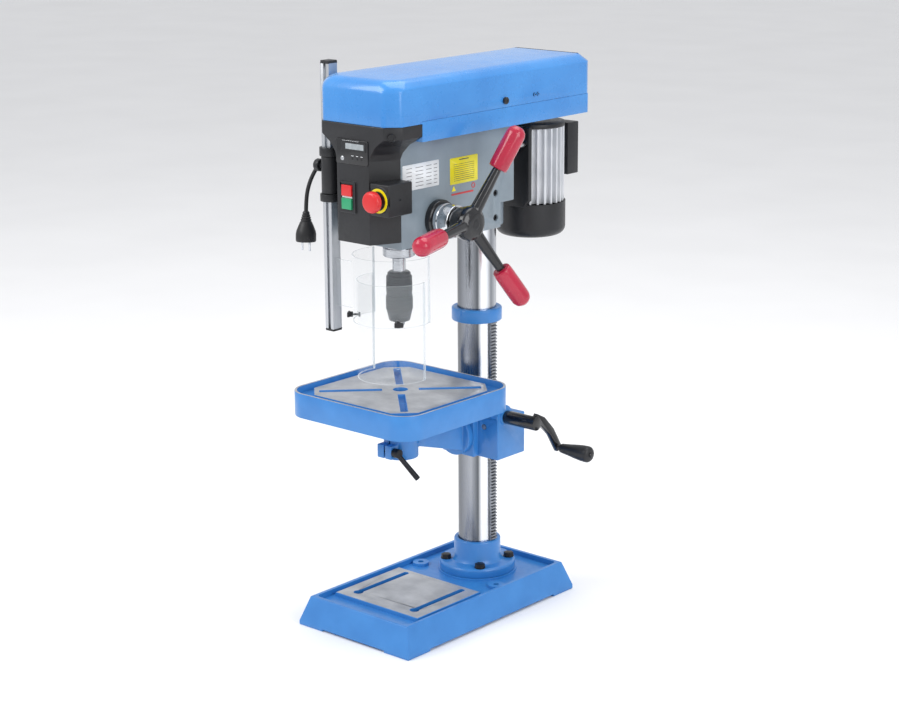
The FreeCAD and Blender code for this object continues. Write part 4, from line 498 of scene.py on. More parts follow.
# ---------------------------------------------------------------- things that repeat
def instancer(name, ring):
    """A node tree that sets blocks round a ring about Z, or along a row, and makes them real."""
    tree = bpy.data.node_groups.new(name, "GeometryNodeTree")
    face = tree.interface
    face.new_socket("Geometry", in_out="INPUT", socket_type="NodeSocketGeometry")
    for label, kind in (("Count", "Int"), ("Size", "Vector"), ("Start", "Vector"), ("Step", "Vector"),
                        ("Radius", "Float"), ("Material", "Material")):
        face.new_socket(label, in_out="INPUT", socket_type="NodeSocket" + kind)
    face.new_socket("Geometry", in_out="OUTPUT", socket_type="NodeSocketGeometry")
    given = add(tree, "NodeGroupInput").outputs
    cube = add(tree, "GeometryNodeMeshCube", {"Size": given["Size"]}).outputs["Mesh"]
    if ring:
        points = add(tree, "GeometryNodeMeshCircle", {"Vertices": given["Count"], "Radius": given["Radius"]})
        place = add(tree, "GeometryNodeInputPosition").outputs["Position"]
        facing = add(tree, "FunctionNodeAlignRotationToVector", {"Vector": place}, axis="X")
        laid = add(tree, "GeometryNodeInstanceOnPoints", {"Points": points.outputs["Mesh"], "Instance": cube,
                                                          "Rotation": facing.outputs["Rotation"]})
    else:
        points = add(tree, "GeometryNodeMeshLine",
                     {"Count": given["Count"], "Start Location": given["Start"], "Offset": given["Step"]})
        laid = add(tree, "GeometryNodeInstanceOnPoints", {"Points": points.outputs["Mesh"], "Instance": cube})
    real = add(tree, "GeometryNodeRealizeInstances", {"Geometry": laid.outputs["Instances"]})
    coated = add(tree, "GeometryNodeSetMaterial", {"Geometry": real.outputs["Geometry"],
                                                   "Material": given["Material"]})
    add(tree, "NodeGroupOutput", {"Geometry": coated.outputs["Geometry"]})
    return tree


RING = instancer("Blocks round a ring", True)
ROW = instancer("Blocks along a row", False)


def repeated(name, tree, finish, at=(0, 0, 0), axis=(0, 0, 1), ease=0.0, **inputs):
    """A plain mesh of the blocks that a tree sets out, then moved from the origin to its place."""
    piece = bpy.data.objects.new(name, bpy.data.meshes.new(name))
    bpy.context.scene.collection.objects.link(piece)
    modifier = piece.modifiers.new("Set out", "NODES")
    modifier.node_group = tree
    sockets = {item.name: item.identifier for item in tree.interface.items_tree if item.in_out == "INPUT"}
    for label, amount in inputs.items():
        modifier[sockets[label]] = amount
    modifier[sockets["Material"]] = FINISH[finish]
    settled(piece)
    turn = Vector((0, 0, 1)).rotation_difference(Vector(axis)).to_matrix().to_4x4()
    piece.data.transform(Matrix.Translation(at) @ turn)
    if ease:
        bevel = piece.modifiers.new("Eased", "BEVEL")
        bevel.width, bevel.segments = ease, 2
        settled(piece)
    return piece


def merged(name, *pieces):
    """Several finished pieces as one, keeping their materials."""
    bm = bmesh.new()
    finishes = []
    for piece in pieces:
        start = len(bm.faces)
        bm.from_mesh(piece.data)
        bm.faces.ensure_lookup_table()
        slots = []
        for finish in piece.data.materials:
            if finish not in finishes:
                finishes.append(finish)
            slots.append(finishes.index(finish))
        for face in bm.faces[start:]:
            face.material_index = slots[min(face.material_index, len(slots) - 1)]
        bpy.data.objects.remove(piece)
    mesh = bpy.data.meshes.new(name)
    bm.to_mesh(mesh)
    bm.free()
    for finish in finishes:
        mesh.materials.append(finish)
    whole = bpy.data.objects.new(name, mesh)
    bpy.context.scene.collection.objects.link(whole)
    return whole


def finish_node(node, finish):
    """Give a CAD node that stays one procedural finish."""
    thing = frame["nodes"][node]
    thing.data.materials.clear()
    thing.data.materials.append(FINISH[finish])


# ---------------------------------------------------------------- sizes that a user may change
def length(label, words, amount):
    """A length in metres that a user may change."""
    return bpy.props.FloatProperty(name=label, description=words, default=amount, min=0.0, subtype="DISTANCE",
                                   unit="LENGTH")


class CastingSizes(bpy.types.PropertyGroup):
    cast_edge: length("Cast edge", "Radius that the sand mould leaves on an edge", 1.8 * MM)
    machined_edge: length("Machined edge", "Chamfer on a cut or ground edge", 0.5 * MM)


class CoverSizes(bpy.types.PropertyGroup):
    lid_corner: length("Lid corner", "Radius of the lid's upright corners", 9 * MM)


class CordSizes(bpy.types.PropertyGroup):
    thickness: length("Cord diameter", "Diameter of the mains cord", 7.5 * MM)
    run: length("Cord length", "Length of the mains cord from its gland to its plug", 188 * MM)


class StageSizes(bpy.types.PropertyGroup):
    distance: length("Camera distance", "From the camera to the middle of the machine", 4.0727)
    azimuth: bpy.props.FloatProperty(name="Azimuth", description="Camera's angle round from the front",
                                     default=math.radians(41.23), subtype="ANGLE", unit="ROTATION")
    elevation: bpy.props.FloatProperty(name="Elevation", description="Camera's angle above level",
                                       default=math.radians(14.90), subtype="ANGLE", unit="ROTATION")
    roll: bpy.props.FloatProperty(name="Roll", description="Camera's turn about its view",
                                  default=math.radians(-0.34), subtype="ANGLE", unit="ROTATION")
    lens: bpy.props.FloatProperty(name="Lens", description="Focal length in millimetres", default=85.73,
                                  min=1.0)


# ---------------------------------------------------------------- operators
class PieceOperator:
    """What every piece's operator shares"""
    bl_options = {"REGISTER", "UNDO"}


class DRILLPRESS_OT_base(PieceOperator, bpy.types.Operator):
    """Base, column, flange and its bolts"""
    bl_idname = "drillpress.base"
    bl_label = "Base and Column"

    def execute(self, context):
        cast_edge = context.scene.drillpress_castings.cast_edge
        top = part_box("base")[1].z
        deck, plate = top - 10 * MM, top - 4 * MM

        def rule(edge):
            """Edges at the deck stay sharp, and short ones are rounded less."""
            if any(abs(vert.co.z - deck) < 0.5 * MM for vert in edge.verts):
                return 0.0
            return 1.0 if edge.calc_length() > 20 * MM else 0.3

        base = eased("base", "base_casting", cast_edge, "blue_iron", "ground_iron", rule=rule, joined=False)

        def chooser(centre, normal):
            """The plate's top is ground, the rest is blue."""
            level = normal.z > 0.95 and abs(centre.z - plate) < 3 * MM
            return int(level and centre.y < COLUMN.y - 100 * MM and abs(centre.x) < 104 * MM)

        stand_for(painted(base, chooser), "base")
        refined("column_flange", "column_foot_flange", cast_edge, "blue_iron")
        refined("flange_bolts", "foot_bolts", 0.7 * MM, "black_steel")
        refined("rack_collar", "upper_rack_collar", 0.8 * MM, "blue_iron")
        finish_node("column", "column_steel")
        finish_node("rack", "cut_steel")
        return {"FINISHED"}


class DRILLPRESS_OT_lift(PieceOperator, bpy.types.Operator):
    """Lift bracket, its gears, crank and lock lever"""
    bl_idname = "drillpress.lift"
    bl_label = "Table Lift"

    def execute(self, context):
        cast_edge = context.scene.drillpress_castings.cast_edge
        refined("lift_bracket", "lift_bracket_casting", cast_edge, "blue_iron", "bare_iron")
        refined("table_arm", "tilting_arm_casting", cast_edge, "blue_iron")
        for node in ("lift_gear", "lift_worm"):
            finish_node(node, "cut_steel")
        refined("column_lock_lever", "column_lock", 0.8 * MM, "gloss_black")
        refined("table_clamp_lever", "table_clamp", 0.8 * MM, "black_steel")
        refined("crank_arm", "crank_handle_arm", 1.2 * MM, "gloss_black")
        self.grip()
        return {"FINISHED"}

    def grip(self):
        """A turned grip: a narrow neck that swells to a round end, round a bore."""
        low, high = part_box("crank_grip")
        at = Vector((low.x, (low.y + high.y) / 2, (low.z + high.z) / 2))
        long, wide, bore, end = high.x - low.x, (high.z - low.z) / 2, 4.7 * MM, 8 * MM
        swell = [(0.0, 0.50), (0.04, 0.58), (0.12, 0.62), (0.3, 0.72), (0.5, 0.86), (0.7, 0.97), (0.84, 1.0)]
        profile = [(bore, 0.0)] + [(wide * share, long * along) for along, share in swell]
        profile += arc((wide - end, long - end), end, 10, 90, 5) + [(bore, long), (bore, 0.0)]
        bm = lathe(bmesh.new(), profile, at, (1, 0, 0))
        bmesh.ops.remove_doubles(bm, verts=bm.verts, dist=0.01 * MM)
        stand_for(piece_from(outward(bm), "crank_handle_grip", "black_abs", sharp=50), "crank_grip")


class DRILLPRESS_OT_table(PieceOperator, bpy.types.Operator):
    """Square table with its coolant trough, ground plate and slots"""
    bl_idname = "drillpress.table"
    bl_label = "Table"

    def execute(self, context):
        machined_edge = context.scene.drillpress_castings.machined_edge
        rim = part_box("table")[1].z
        plate = rim - 4 * MM
        table = eased("table", "table_casting", machined_edge, "blue_iron", "ground_iron", "bare_iron")

        def chooser(centre, normal):
            """The rim's top is bare iron, the plate is ground, and all below it is blue."""
            if normal.z < 0.5 or centre.z < plate - 0.6 * MM:
                return 0
            return 2 if centre.z > rim - 0.7 * MM else int(normal.z > 0.98)

        stand_for(painted(table, chooser), "table")
        return {"FINISHED"}


class DRILLPRESS_OT_head(PieceOperator, bpy.types.Operator):
    """Grey head casting with its labels and screws"""
    bl_idname = "drillpress.head"
    bl_label = "Head Casting"

    def execute(self, context):
        low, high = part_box("head_casting")
        refined("head_casting", "head_casting_body", context.scene.drillpress_castings.cast_edge, "grey_iron")
        self.data_plate(high.x)
        self.warning_foil(high.x)
        self.screws(high.x, low.z)
        return {"FINISHED"}

    def data_plate(self, side):
        """A white foil ruled like a table of figures, without any words."""
        front, back, bottom, top = COLUMN.y - 276 * MM + 4 * MM, COLUMN.y - 176 * MM, 0.833, 0.879
        foil = piece_from(slab(bmesh.new(), (side, front, bottom), (side + 0.35 * MM, back, top), 2 * MM,
                               "x"), "data_plate_foil", "white_foil")
        lines = []
        for column, (start, wide) in enumerate(((10, 14), (34, 20), (62, 14), (82, 9))):
            first = (side + 0.4 * MM, front + start * MM + wide * MM / 2, bottom + 6 * MM)
            lines.append(repeated("figures_%d" % column, ROW, "ink", Count=6, Start=first,
                                  Size=(0.12 * MM, wide * MM, 0.9 * MM), Step=(0, 0, 6.6 * MM)))
        stand(merged("data_plate", foil, *lines), "root", "grey_enamel")

    def warning_foil(self, side):
        """A yellow foil with ruled lines and, below it, a triangle, a ring and a red bar."""
        front, back, bottom, top = COLUMN.y - 146 * MM, COLUMN.y - 70 * MM, 0.828, 0.876
        half = (front + back) / 2
        foil = piece_from(slab(bmesh.new(), (side, front, bottom), (side + 0.35 * MM, back, top), 2 * MM,
                               "x"), "yellow_foil", "signal_yellow")
        lines = repeated("notes", ROW, "ink", Count=9, Size=(0.12 * MM, 56 * MM, 0.7 * MM),
                         Start=(side + 0.4 * MM, half, bottom + 6 * MM), Step=(0, 0, 3.7 * MM))
        heading = repeated("heading", ROW, "ink", Count=1, Size=(0.12 * MM, 26 * MM, 1.8 * MM),
                           Start=(side + 0.4 * MM, half, top - 4.5 * MM), Step=(0, 0, 1 * MM))
        bar = repeated("bar", ROW, "red_ink", Count=1, Size=(0.3 * MM, 60 * MM, 3.2 * MM),
                       Start=(side + 0.2 * MM, half - 4 * MM, bottom - 18 * MM), Step=(0, 0, 1 * MM))
        spot = Vector((side, half - 28 * MM, bottom - 12 * MM))
        rings = [[spot + Vector((depth, -5.5 * MM, 0)), spot + Vector((depth, 5.5 * MM, 0)),
                  spot + Vector((depth, 0, 9.5 * MM))] for depth in (0, 0.35 * MM)]
        bm = bmesh.new()
        skin(bm, rings)
        triangle = piece_from(outward(bm), "warning_triangle", "signal_yellow")
        at = (side, half + 26 * MM, bottom - 8 * MM)
        band = mm((3.4, 0), (5, 0), (5, 0.4), (3.4, 0.4), (3.4, 0))
        ring = piece_from(lathe(bmesh.new(), band, at, (1, 0, 0)), "warning_ring", "red_ink")
        stand(merged("warning_foil", foil, lines, heading, bar, triangle, ring), "root", "grey_enamel")

    def screws(self, side, foot):
        """Two socket screws sunk in the side."""
        profile = mm((0, 0.8), (2.6, 0.8), (2.6, 5), (4.4, 5), (5.2, 4.2), (5.2, 0), (0, 0))
        pieces = []
        for height in (foot + 20 * MM, foot + 66 * MM):
            at = (side - 6.5 * MM, COLUMN.y - 18 * MM, height)
            pieces.append(turned("set_screw", "black_steel", profile, at, (1, 0, 0), 24))
        stand(merged("head_screws", *pieces), "root", "black_steel")


class DRILLPRESS_OT_covers(PieceOperator, bpy.types.Operator):
    """Blue lid and belt tray, and the black front cover"""
    bl_idname = "drillpress.covers"
    bl_label = "Covers"

    def execute(self, context):
        refined("belt_tray", "belt_case_tray", 0.7 * MM, "blue_sheet")
        refined("lid", "belt_case_lid", context.scene.drillpress_covers.lid_corner, "blue_sheet",
                rule=self.lid_rule, segments=4, sharp=18)
        self.latch()
        refined("front_cover", "black_front_cover", 1.2 * MM, "black_abs", sharp=20)
        self.cap()
        return {"FINISHED"}

    def lid_rule(self, edge):
        """The long outer edges above and at the corners are rounded in full, the others hardly at all."""
        low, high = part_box("lid")
        first, second = (vert.co for vert in edge.verts)
        long = (first - second).length > 18 * MM
        outside = all(abs(vert.co.x) > high.x - 26 * MM or vert.co.y < low.y + 26 * MM
                      or vert.co.y > high.y - 40 * MM or vert.co.z > high.z - 0.5 * MM for vert in edge.verts)
        upper = min(first.z, second.z) > high.z - 16 * MM
        upright = abs(first.z - second.z) > 0.6 * (first - second).length
        if long and outside and edge.is_convex and (upper or upright):
            return 1.0 if upper else 0.7
        return 0.05

    def latch(self):
        """The black knob and two small rivets on the lid's right side."""
        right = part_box("belt_tray")[1].x
        knob = mm((0, 4), (2, 4), (2.4, 4.8), (5.4, 4.8), (6.6, 3.6), (6.8, 0.2), (0, 0.2))
        at = (right + 1.4 * MM, COLUMN.y - 33 * MM, 0.971)
        pieces = [turned("latch_knob", "gloss_black", knob, at, (1, 0, 0), 32)]
        rivet = mm((0, 2.8), (1.5, 2.6), (3.2, 1.4), (3.4, 0.2), (0, 0.2))
        for along in (52 * MM, 62 * MM):
            at = (right, COLUMN.y + along, 0.973)
            pieces.append(turned("latch_rivet", "black_steel", rivet, at, (1, 0, 0), 24))
        stand(merged("lid_latch", *pieces), "lid", "black_steel")

    def cap(self):
        """The round cap on the cover's right shoulder."""
        low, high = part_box("front_cover")
        facet = Vector((0.7, -0.72, 0)).normalized()
        at = Vector((high.x - 10.4 * MM, low.y + 11.2 * MM, high.z - 17 * MM))
        ring = mm((0, 0.2), (4.4, 0.2), (4.8, 1.1), (6.6, 1.1), (7.2, 0.2), (7.2, -1.5), (0, -1.5))
        stand(turned("cover_cap", "gloss_black", ring, at, facet, 32), "root", "black_plastic")


class DRILLPRESS_OT_controls(PieceOperator, bpy.types.Operator):
    """Counter panel, push-buttons and emergency stop"""
    bl_idname = "drillpress.controls"
    bl_label = "Controls"

    def execute(self, context):
        self.panel()
        self.buttons()
        self.emergency_stop()
        return {"FINISHED"}

    def panel(self):
        """A glossy panel with a counter window, a round sensor and three small keys."""
        low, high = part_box("display_panel")
        face = COLUMN.y - 334 * MM
        bm = slab(bmesh.new(), (low.x, face, low.z), (high.x, face + 2 * MM, high.z), 4 * MM, "y",
                  edge=0.8 * MM)
        slab(bm, (low.x + 6 * MM, face + 1.5 * MM, low.z + 6 * MM),
             (high.x - 6 * MM, high.y, high.z - 6 * MM), 1 * MM, "y")
        board = piece_from(outward(bm), "panel_board", "gloss_black")
        bezel = block("window_bezel", "black_abs", (low.x + 13 * MM, face - 0.7 * MM, low.z + 23 * MM),
                      (high.x - 4 * MM, face + 0.3 * MM, high.z - 4 * MM), 1.5 * MM, "y")
        glass = block("window_glass", "counter_glass", (low.x + 24 * MM, face - 0.9 * MM, low.z + 26.5 * MM),
                      (high.x - 9 * MM, face - 0.4 * MM, high.z - 6.5 * MM), 0.8 * MM, "y")
        sensor = mm((0, 1.6), (2, 1.5), (3.6, 0.9), (4.2, 0), (0, 0))
        at = (-22.7 * MM, face, low.z + 9 * MM)
        eye = turned("round_sensor", "cast_aluminium", sensor, at, (0, -1, 0), 32)
        button = mm((0, 0.9), (1.9, 0.8), (2.3, 0), (0, 0))
        keys = [turned("key", "black_abs", button, (across * MM, face, low.z + 10.5 * MM), (0, -1, 0), 24)
                for across in (1.2, 13, 23)]
        marks = repeated("key_marks", ROW, "white_foil", Count=3, Size=(5 * MM, 0.15 * MM, 0.8 * MM),
                         Start=(1.6 * MM, face - 0.02 * MM, low.z + 15 * MM), Step=(11 * MM, 0, 0))
        line = repeated("panel_line", ROW, "white_foil", Count=9, Size=(3.2 * MM, 0.15 * MM, 0.5 * MM),
                        Start=(low.x + 18 * MM, face - 0.02 * MM, high.z - 2.2 * MM), Step=(4.4 * MM, 0, 0))
        stand_for(merged("counter_panel", board, bezel, glass, eye, marks, line, *keys), "display_panel")

    def buttons(self):
        """Two flat rectangular keys, red above green, with a white bar between them."""
        for node, finish in (("start_button", "signal_green"), ("stop_button", "signal_red")):
            low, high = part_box(node)
            stand_for(block(node + "_key", finish, low, high, 1 * MM, "y", 0.7 * MM), node)
        low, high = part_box("start_button")
        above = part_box("stop_button")[0].z
        bar = block("button_divider", "white_plastic", (low.x, low.y + 2.8 * MM, high.z + 0.5 * MM),
                    (high.x, low.y + 4.5 * MM, above - 0.5 * MM), 0.4 * MM, "y")
        stand(bar, "root", "black_plastic")

    def emergency_stop(self):
        """A black box with a yellow ring and a red mushroom head."""
        box = eased("e_stop_box", "stop_switch_box", 2.2 * MM, "black_abs", segments=3)
        low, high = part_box("e_stop_box")
        head = middle("e_stop_button")
        band = mm((17, 0), (21.5, 0), (21.5, 0.8), (17, 0.8), (17, 0))
        ring = turned("stop_ring", "signal_yellow", band, (head.x, low.y, head.z), (0, -1, 0), 64)
        screw = turned("stop_box_screw", "black_steel", mm((0, 0.6), (1.6, 0.6), (2.2, 0), (0, 0)),
                       (high.x, low.y + 32 * MM, head.z), (1, 0, 0), 20)
        stand_for(merged("stop_switch", box, ring, screw), "e_stop_box")
        low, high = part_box("e_stop_button")
        wide, long = (high.x - low.x) / 2, high.y - low.y
        at = Vector(((low.x + high.x) / 2, high.y, (low.z + high.z) / 2))
        profile = [(0, 0), (7 * MM, 0), (7 * MM, long - 18 * MM), (9 * MM, long - 16 * MM),
                   (wide - 1.5 * MM, long - 14 * MM)]
        profile += arc((wide - 3 * MM, long - 11 * MM), 3 * MM, -45, 0, 4)
        profile += arc((wide - 6 * MM, long - 6.4 * MM), 6 * MM, 0, 80, 6)
        profile += [(wide * 0.4, long - 0.3 * MM), (0, long)]
        stand_for(turned("mushroom_head", "signal_red", profile, at, (0, -1, 0), 64), "e_stop_button")


class DRILLPRESS_OT_feed(PieceOperator, bpy.types.Operator):
    """Feed shaft, depth ring, hub, arms and grips"""
    bl_idname = "drillpress.feed"
    bl_label = "Feed Handle"

    def execute(self, context):
        refined("depth_ring_seat", "depth_ring_flange", 0.8 * MM, "gloss_black")
        self.ring()
        self.hub()
        self.grips()
        refined("spring_cap", "return_spring_cap", 1.5 * MM, "gloss_black", segments=3)
        finish_node("feed_shaft", "turned_steel")
        finish_node("return_spring", "cut_steel")
        return {"FINISHED"}

    def ring(self):
        """A chromed ring with a knurled band and a graduated band."""
        low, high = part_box("depth_ring")
        wide, long = (high.z - low.z) / 2, high.x - low.x
        at = Vector((low.x, FEED.y, FEED.z))
        bore = 9.1 * MM
        profile = [(bore, 0), (wide - 1 * MM, 0), (wide - 0.2 * MM, 0.8 * MM), (wide - 0.2 * MM, 9 * MM),
                   (wide - 1.4 * MM, 10 * MM), (wide - 1.4 * MM, 12 * MM), (wide - 0.6 * MM, 12.6 * MM)]
        profile += arc((wide - 2.6 * MM, long - 2 * MM), 2 * MM, 0, 90, 5) + [(bore, long), (bore, 0)]
        ring = turned("ring_body", "chrome", profile, at, (1, 0, 0), 96)
        marks = repeated("ring_marks", RING, "ink", at + Vector((16 * MM, 0, 0)), (1, 0, 0), Count=72,
                         Size=(0.2 * MM, 0.4 * MM, 4 * MM), Radius=wide - 0.55 * MM)
        tens = repeated("ring_tens", RING, "ink", at + Vector((18 * MM, 0, 0)), (1, 0, 0), Count=12,
                        Size=(0.2 * MM, 0.6 * MM, 8 * MM), Radius=wide - 0.55 * MM)
        knurl = repeated("ring_knurl", RING, "chrome", at + Vector((5 * MM, 0, 0)), (1, 0, 0), Count=90,
                         Size=(0.7 * MM, 1.0 * MM, 6.5 * MM), Radius=wide - 0.35 * MM)
        stand_for(merged("graduated_depth_ring", ring, marks, tens, knurl), "depth_ring")

    def hub(self):
        """A black hub whose three arms grow out of it and taper to the grips."""
        hub = eased("feed_hub", "feed_handle_hub", 2.4 * MM, "gloss_black", segments=3, sharp=40)
        at = Vector((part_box("depth_ring")[1].x + 43.6 * MM, FEED.y, FEED.z))
        dome = mm((0, 1.0), (5, 1.6), (8.6, 1.4), (10.4, 0.2), (10.4, -2), (0, -2))
        cap = turned("hub_cap", "black_abs", dome, at, (1, 0, 0), 40)
        stand_for(merged("feed_handle_hub_and_arms", hub, cap), "feed_hub")

    def grips(self):
        """Three soft grips dipped in vinyl."""
        grips = eased("feed_grips", "feed_handle_grips", 0.6 * MM, "red_vinyl", sharp=50)
        subdivide = grips.modifiers.new("Softened", "SUBSURF")
        subdivide.levels = subdivide.render_levels = 1
        stand_for(settled(grips), "feed_grips")


class DRILLPRESS_OT_spindle(PieceOperator, bpy.types.Operator):
    """Quill, spindle and keyless chuck"""
    bl_idname = "drillpress.spindle"
    bl_label = "Spindle and Chuck"

    def execute(self, context):
        finish_node("quill", "turned_steel")
        finish_node("quill_bearings", "cut_steel")
        finish_node("spindle", "turned_steel")
        low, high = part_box("chuck_body")
        body = eased("chuck_body", "chuck_upper", 0.5 * MM, "chuck_steel")
        radius = (high.x - low.x) / 2
        knurl = repeated("chuck_knurl", RING, "chuck_steel", (SPINDLE.x, SPINDLE.y, 0.648), Count=72,
                         Size=(0.8 * MM, 1.1 * MM, 16 * MM), Radius=radius - 0.2 * MM)
        stand_for(merged("chuck_upper_body", body, knurl), "chuck_body")
        self.sleeve()
        for number in (1, 2, 3):
            finish_node("chuck_jaw_%d" % number, "cut_steel")
        return {"FINISHED"}

    def sleeve(self):
        """The gripping sleeve: a knurled band above a cone that runs down to the jaws."""
        low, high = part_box("chuck_sleeve")
        wide, long = (high.x - low.x) / 2, high.z - low.z
        bore = 16.1 * MM
        profile = [(bore, 0), (wide - 6 * MM, 0), (wide - 5.2 * MM, 0.8 * MM), (wide - 1.6 * MM, 17 * MM),
                   (wide - 1.6 * MM, 19 * MM), (wide - 0.5 * MM, 20 * MM), (wide - 0.5 * MM, long - 3 * MM),
                   (wide - 1.6 * MM, long - 2 * MM), (wide - 1.6 * MM, long - 0.4 * MM),
                   (wide - 2.2 * MM, long), (bore, long), (bore, 0)]
        at = Vector((SPINDLE.x, SPINDLE.y, low.z))
        sleeve = turned("sleeve_body", "chuck_steel", profile, at, steps=72)
        knurl = repeated("sleeve_knurl", RING, "chuck_steel", at + Vector((0, 0, 33 * MM)), Count=72,
                         Size=(0.9 * MM, 1.1 * MM, 23 * MM), Radius=wide - 0.5 * MM)
        stand_for(merged("chuck_gripping_sleeve", sleeve, knurl), "chuck_sleeve")


class DRILLPRESS_OT_drive(PieceOperator, bpy.types.Operator):
    """Motor, pulleys and belts"""
    bl_idname = "drillpress.drive"
    bl_label = "Motor and Drive"

    def execute(self, context):
        motor = eased("motor_body", "motor_ribbed_case", 0.5 * MM, "silver_paint", "black_paint")
        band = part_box("motor_body")[1].z - 8.5 * MM
        stand_for(painted(motor, lambda centre, normal: int(centre.z > band)), "motor_body")
        for node, finish in (("motor_plate", "black_paint"), ("terminal_box", "black_abs")):
            refined(node, node + "_finished", 1.5 * MM, finish)
        self.fan_cover()
        for node in ("motor_shaft", "slide_rods"):
            finish_node(node, "turned_steel")
        for node in ("spindle_pulley", "idler_pulley", "motor_pulley"):
            finish_node(node, "cast_aluminium")
        for node in ("front_belt", "rear_belt"):
            finish_node(node, "belt_rubber")
        return {"FINISHED"}

    def fan_cover(self):
        """A pressed steel bowl under the motor, with bars across the hole in its floor."""
        low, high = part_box("motor_fan_cover")
        wide, long = (high.x - low.x) / 2, high.z - low.z
        wall, hole, bend = 2 * MM, 26 * MM, 16 * MM
        outer = [(hole, 0)] + arc((wide - bend, bend), bend, -90, 0, 8) + [(wide, long)]
        inner = [(wide - wall, long)] + arc((wide - bend, bend), bend - wall, 0, -90, 8) + [(hole, wall)]
        at = Vector((MOTOR.x, MOTOR.y, low.z))
        bm = lathe(bmesh.new(), outer + inner + [(hole, 0)], at, steps=96)
        bmesh.ops.remove_doubles(bm, verts=bm.verts, dist=0.01 * MM)
        bowl = piece_from(outward(bm), "fan_bowl", "black_paint")
        grille = repeated("fan_grille", RING, "black_paint", at + Vector((0, 0, 1.2 * MM)), Count=18,
                          Size=(27 * MM, 2.4 * MM, 2 * MM), Radius=13.5 * MM, ease=0.4 * MM)
        stand_for(merged("motor_fan_bowl", bowl, grille), "motor_fan_cover")


class DRILLPRESS_OT_guard(PieceOperator, bpy.types.Operator):
    """Clear guard on its aluminium rail"""
    bl_idname = "drillpress.guard"
    bl_label = "Guard"

    def execute(self, context):
        for node in ("guard_upper", "guard_lower"):
            shield = eased(node, node + "_shield", 0.4 * MM, "clear", "clear_edge")
            low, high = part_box(node)
            painted(shield, lambda centre, normal: int(abs(normal.z) > 0.5 or centre.y > high.y - 3 * MM))
            stand_for(shield, node)
        low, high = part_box("guard_rail")
        rail = eased("guard_rail", "guard_rail_profile", 0.6 * MM, "aluminium", "black_abs")
        painted(rail, lambda centre, normal: int(centre.z < low.z + 4.2 * MM or centre.z > high.z - 5.2 * MM))
        stand_for(rail, "guard_rail")
        for node in ("guard_bracket", "guard_sleeve", "guard_knobs"):
            refined(node, node + "_moulding", 1.0 * MM, "black_abs")
        self.lock_knob()
        return {"FINISHED"}

    def lock_knob(self):
        """A lobed clamp knob."""
        low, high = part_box("guard_lock_knob")
        knob = eased("guard_lock_knob", "knob_core", 1.2 * MM, "black_abs")
        at = (low.x + 5.5 * MM, (low.y + high.y) / 2, (low.z + high.z) / 2)
        ribs = repeated("knob_ribs", RING, "black_abs", at, (1, 0, 0), Count=10,
                        Size=(2 * MM, 3.4 * MM, 9 * MM), Radius=10.6 * MM, ease=0.8 * MM)
        stand_for(merged("guard_clamp_knob", knob, ribs), "guard_lock_knob")


# The cord's route from its gland: sideways, over and down to the plug. Millimetres from the gland's place.
CORD_ROUTE = [(-84.3, 0, 0), (-106, 0, 0), (-131, -8, -5), (-152, -20, -20), (-165, -32, -42),
              (-174, -42, -68), (-178, -48, -96), (-177, -50, -122)]


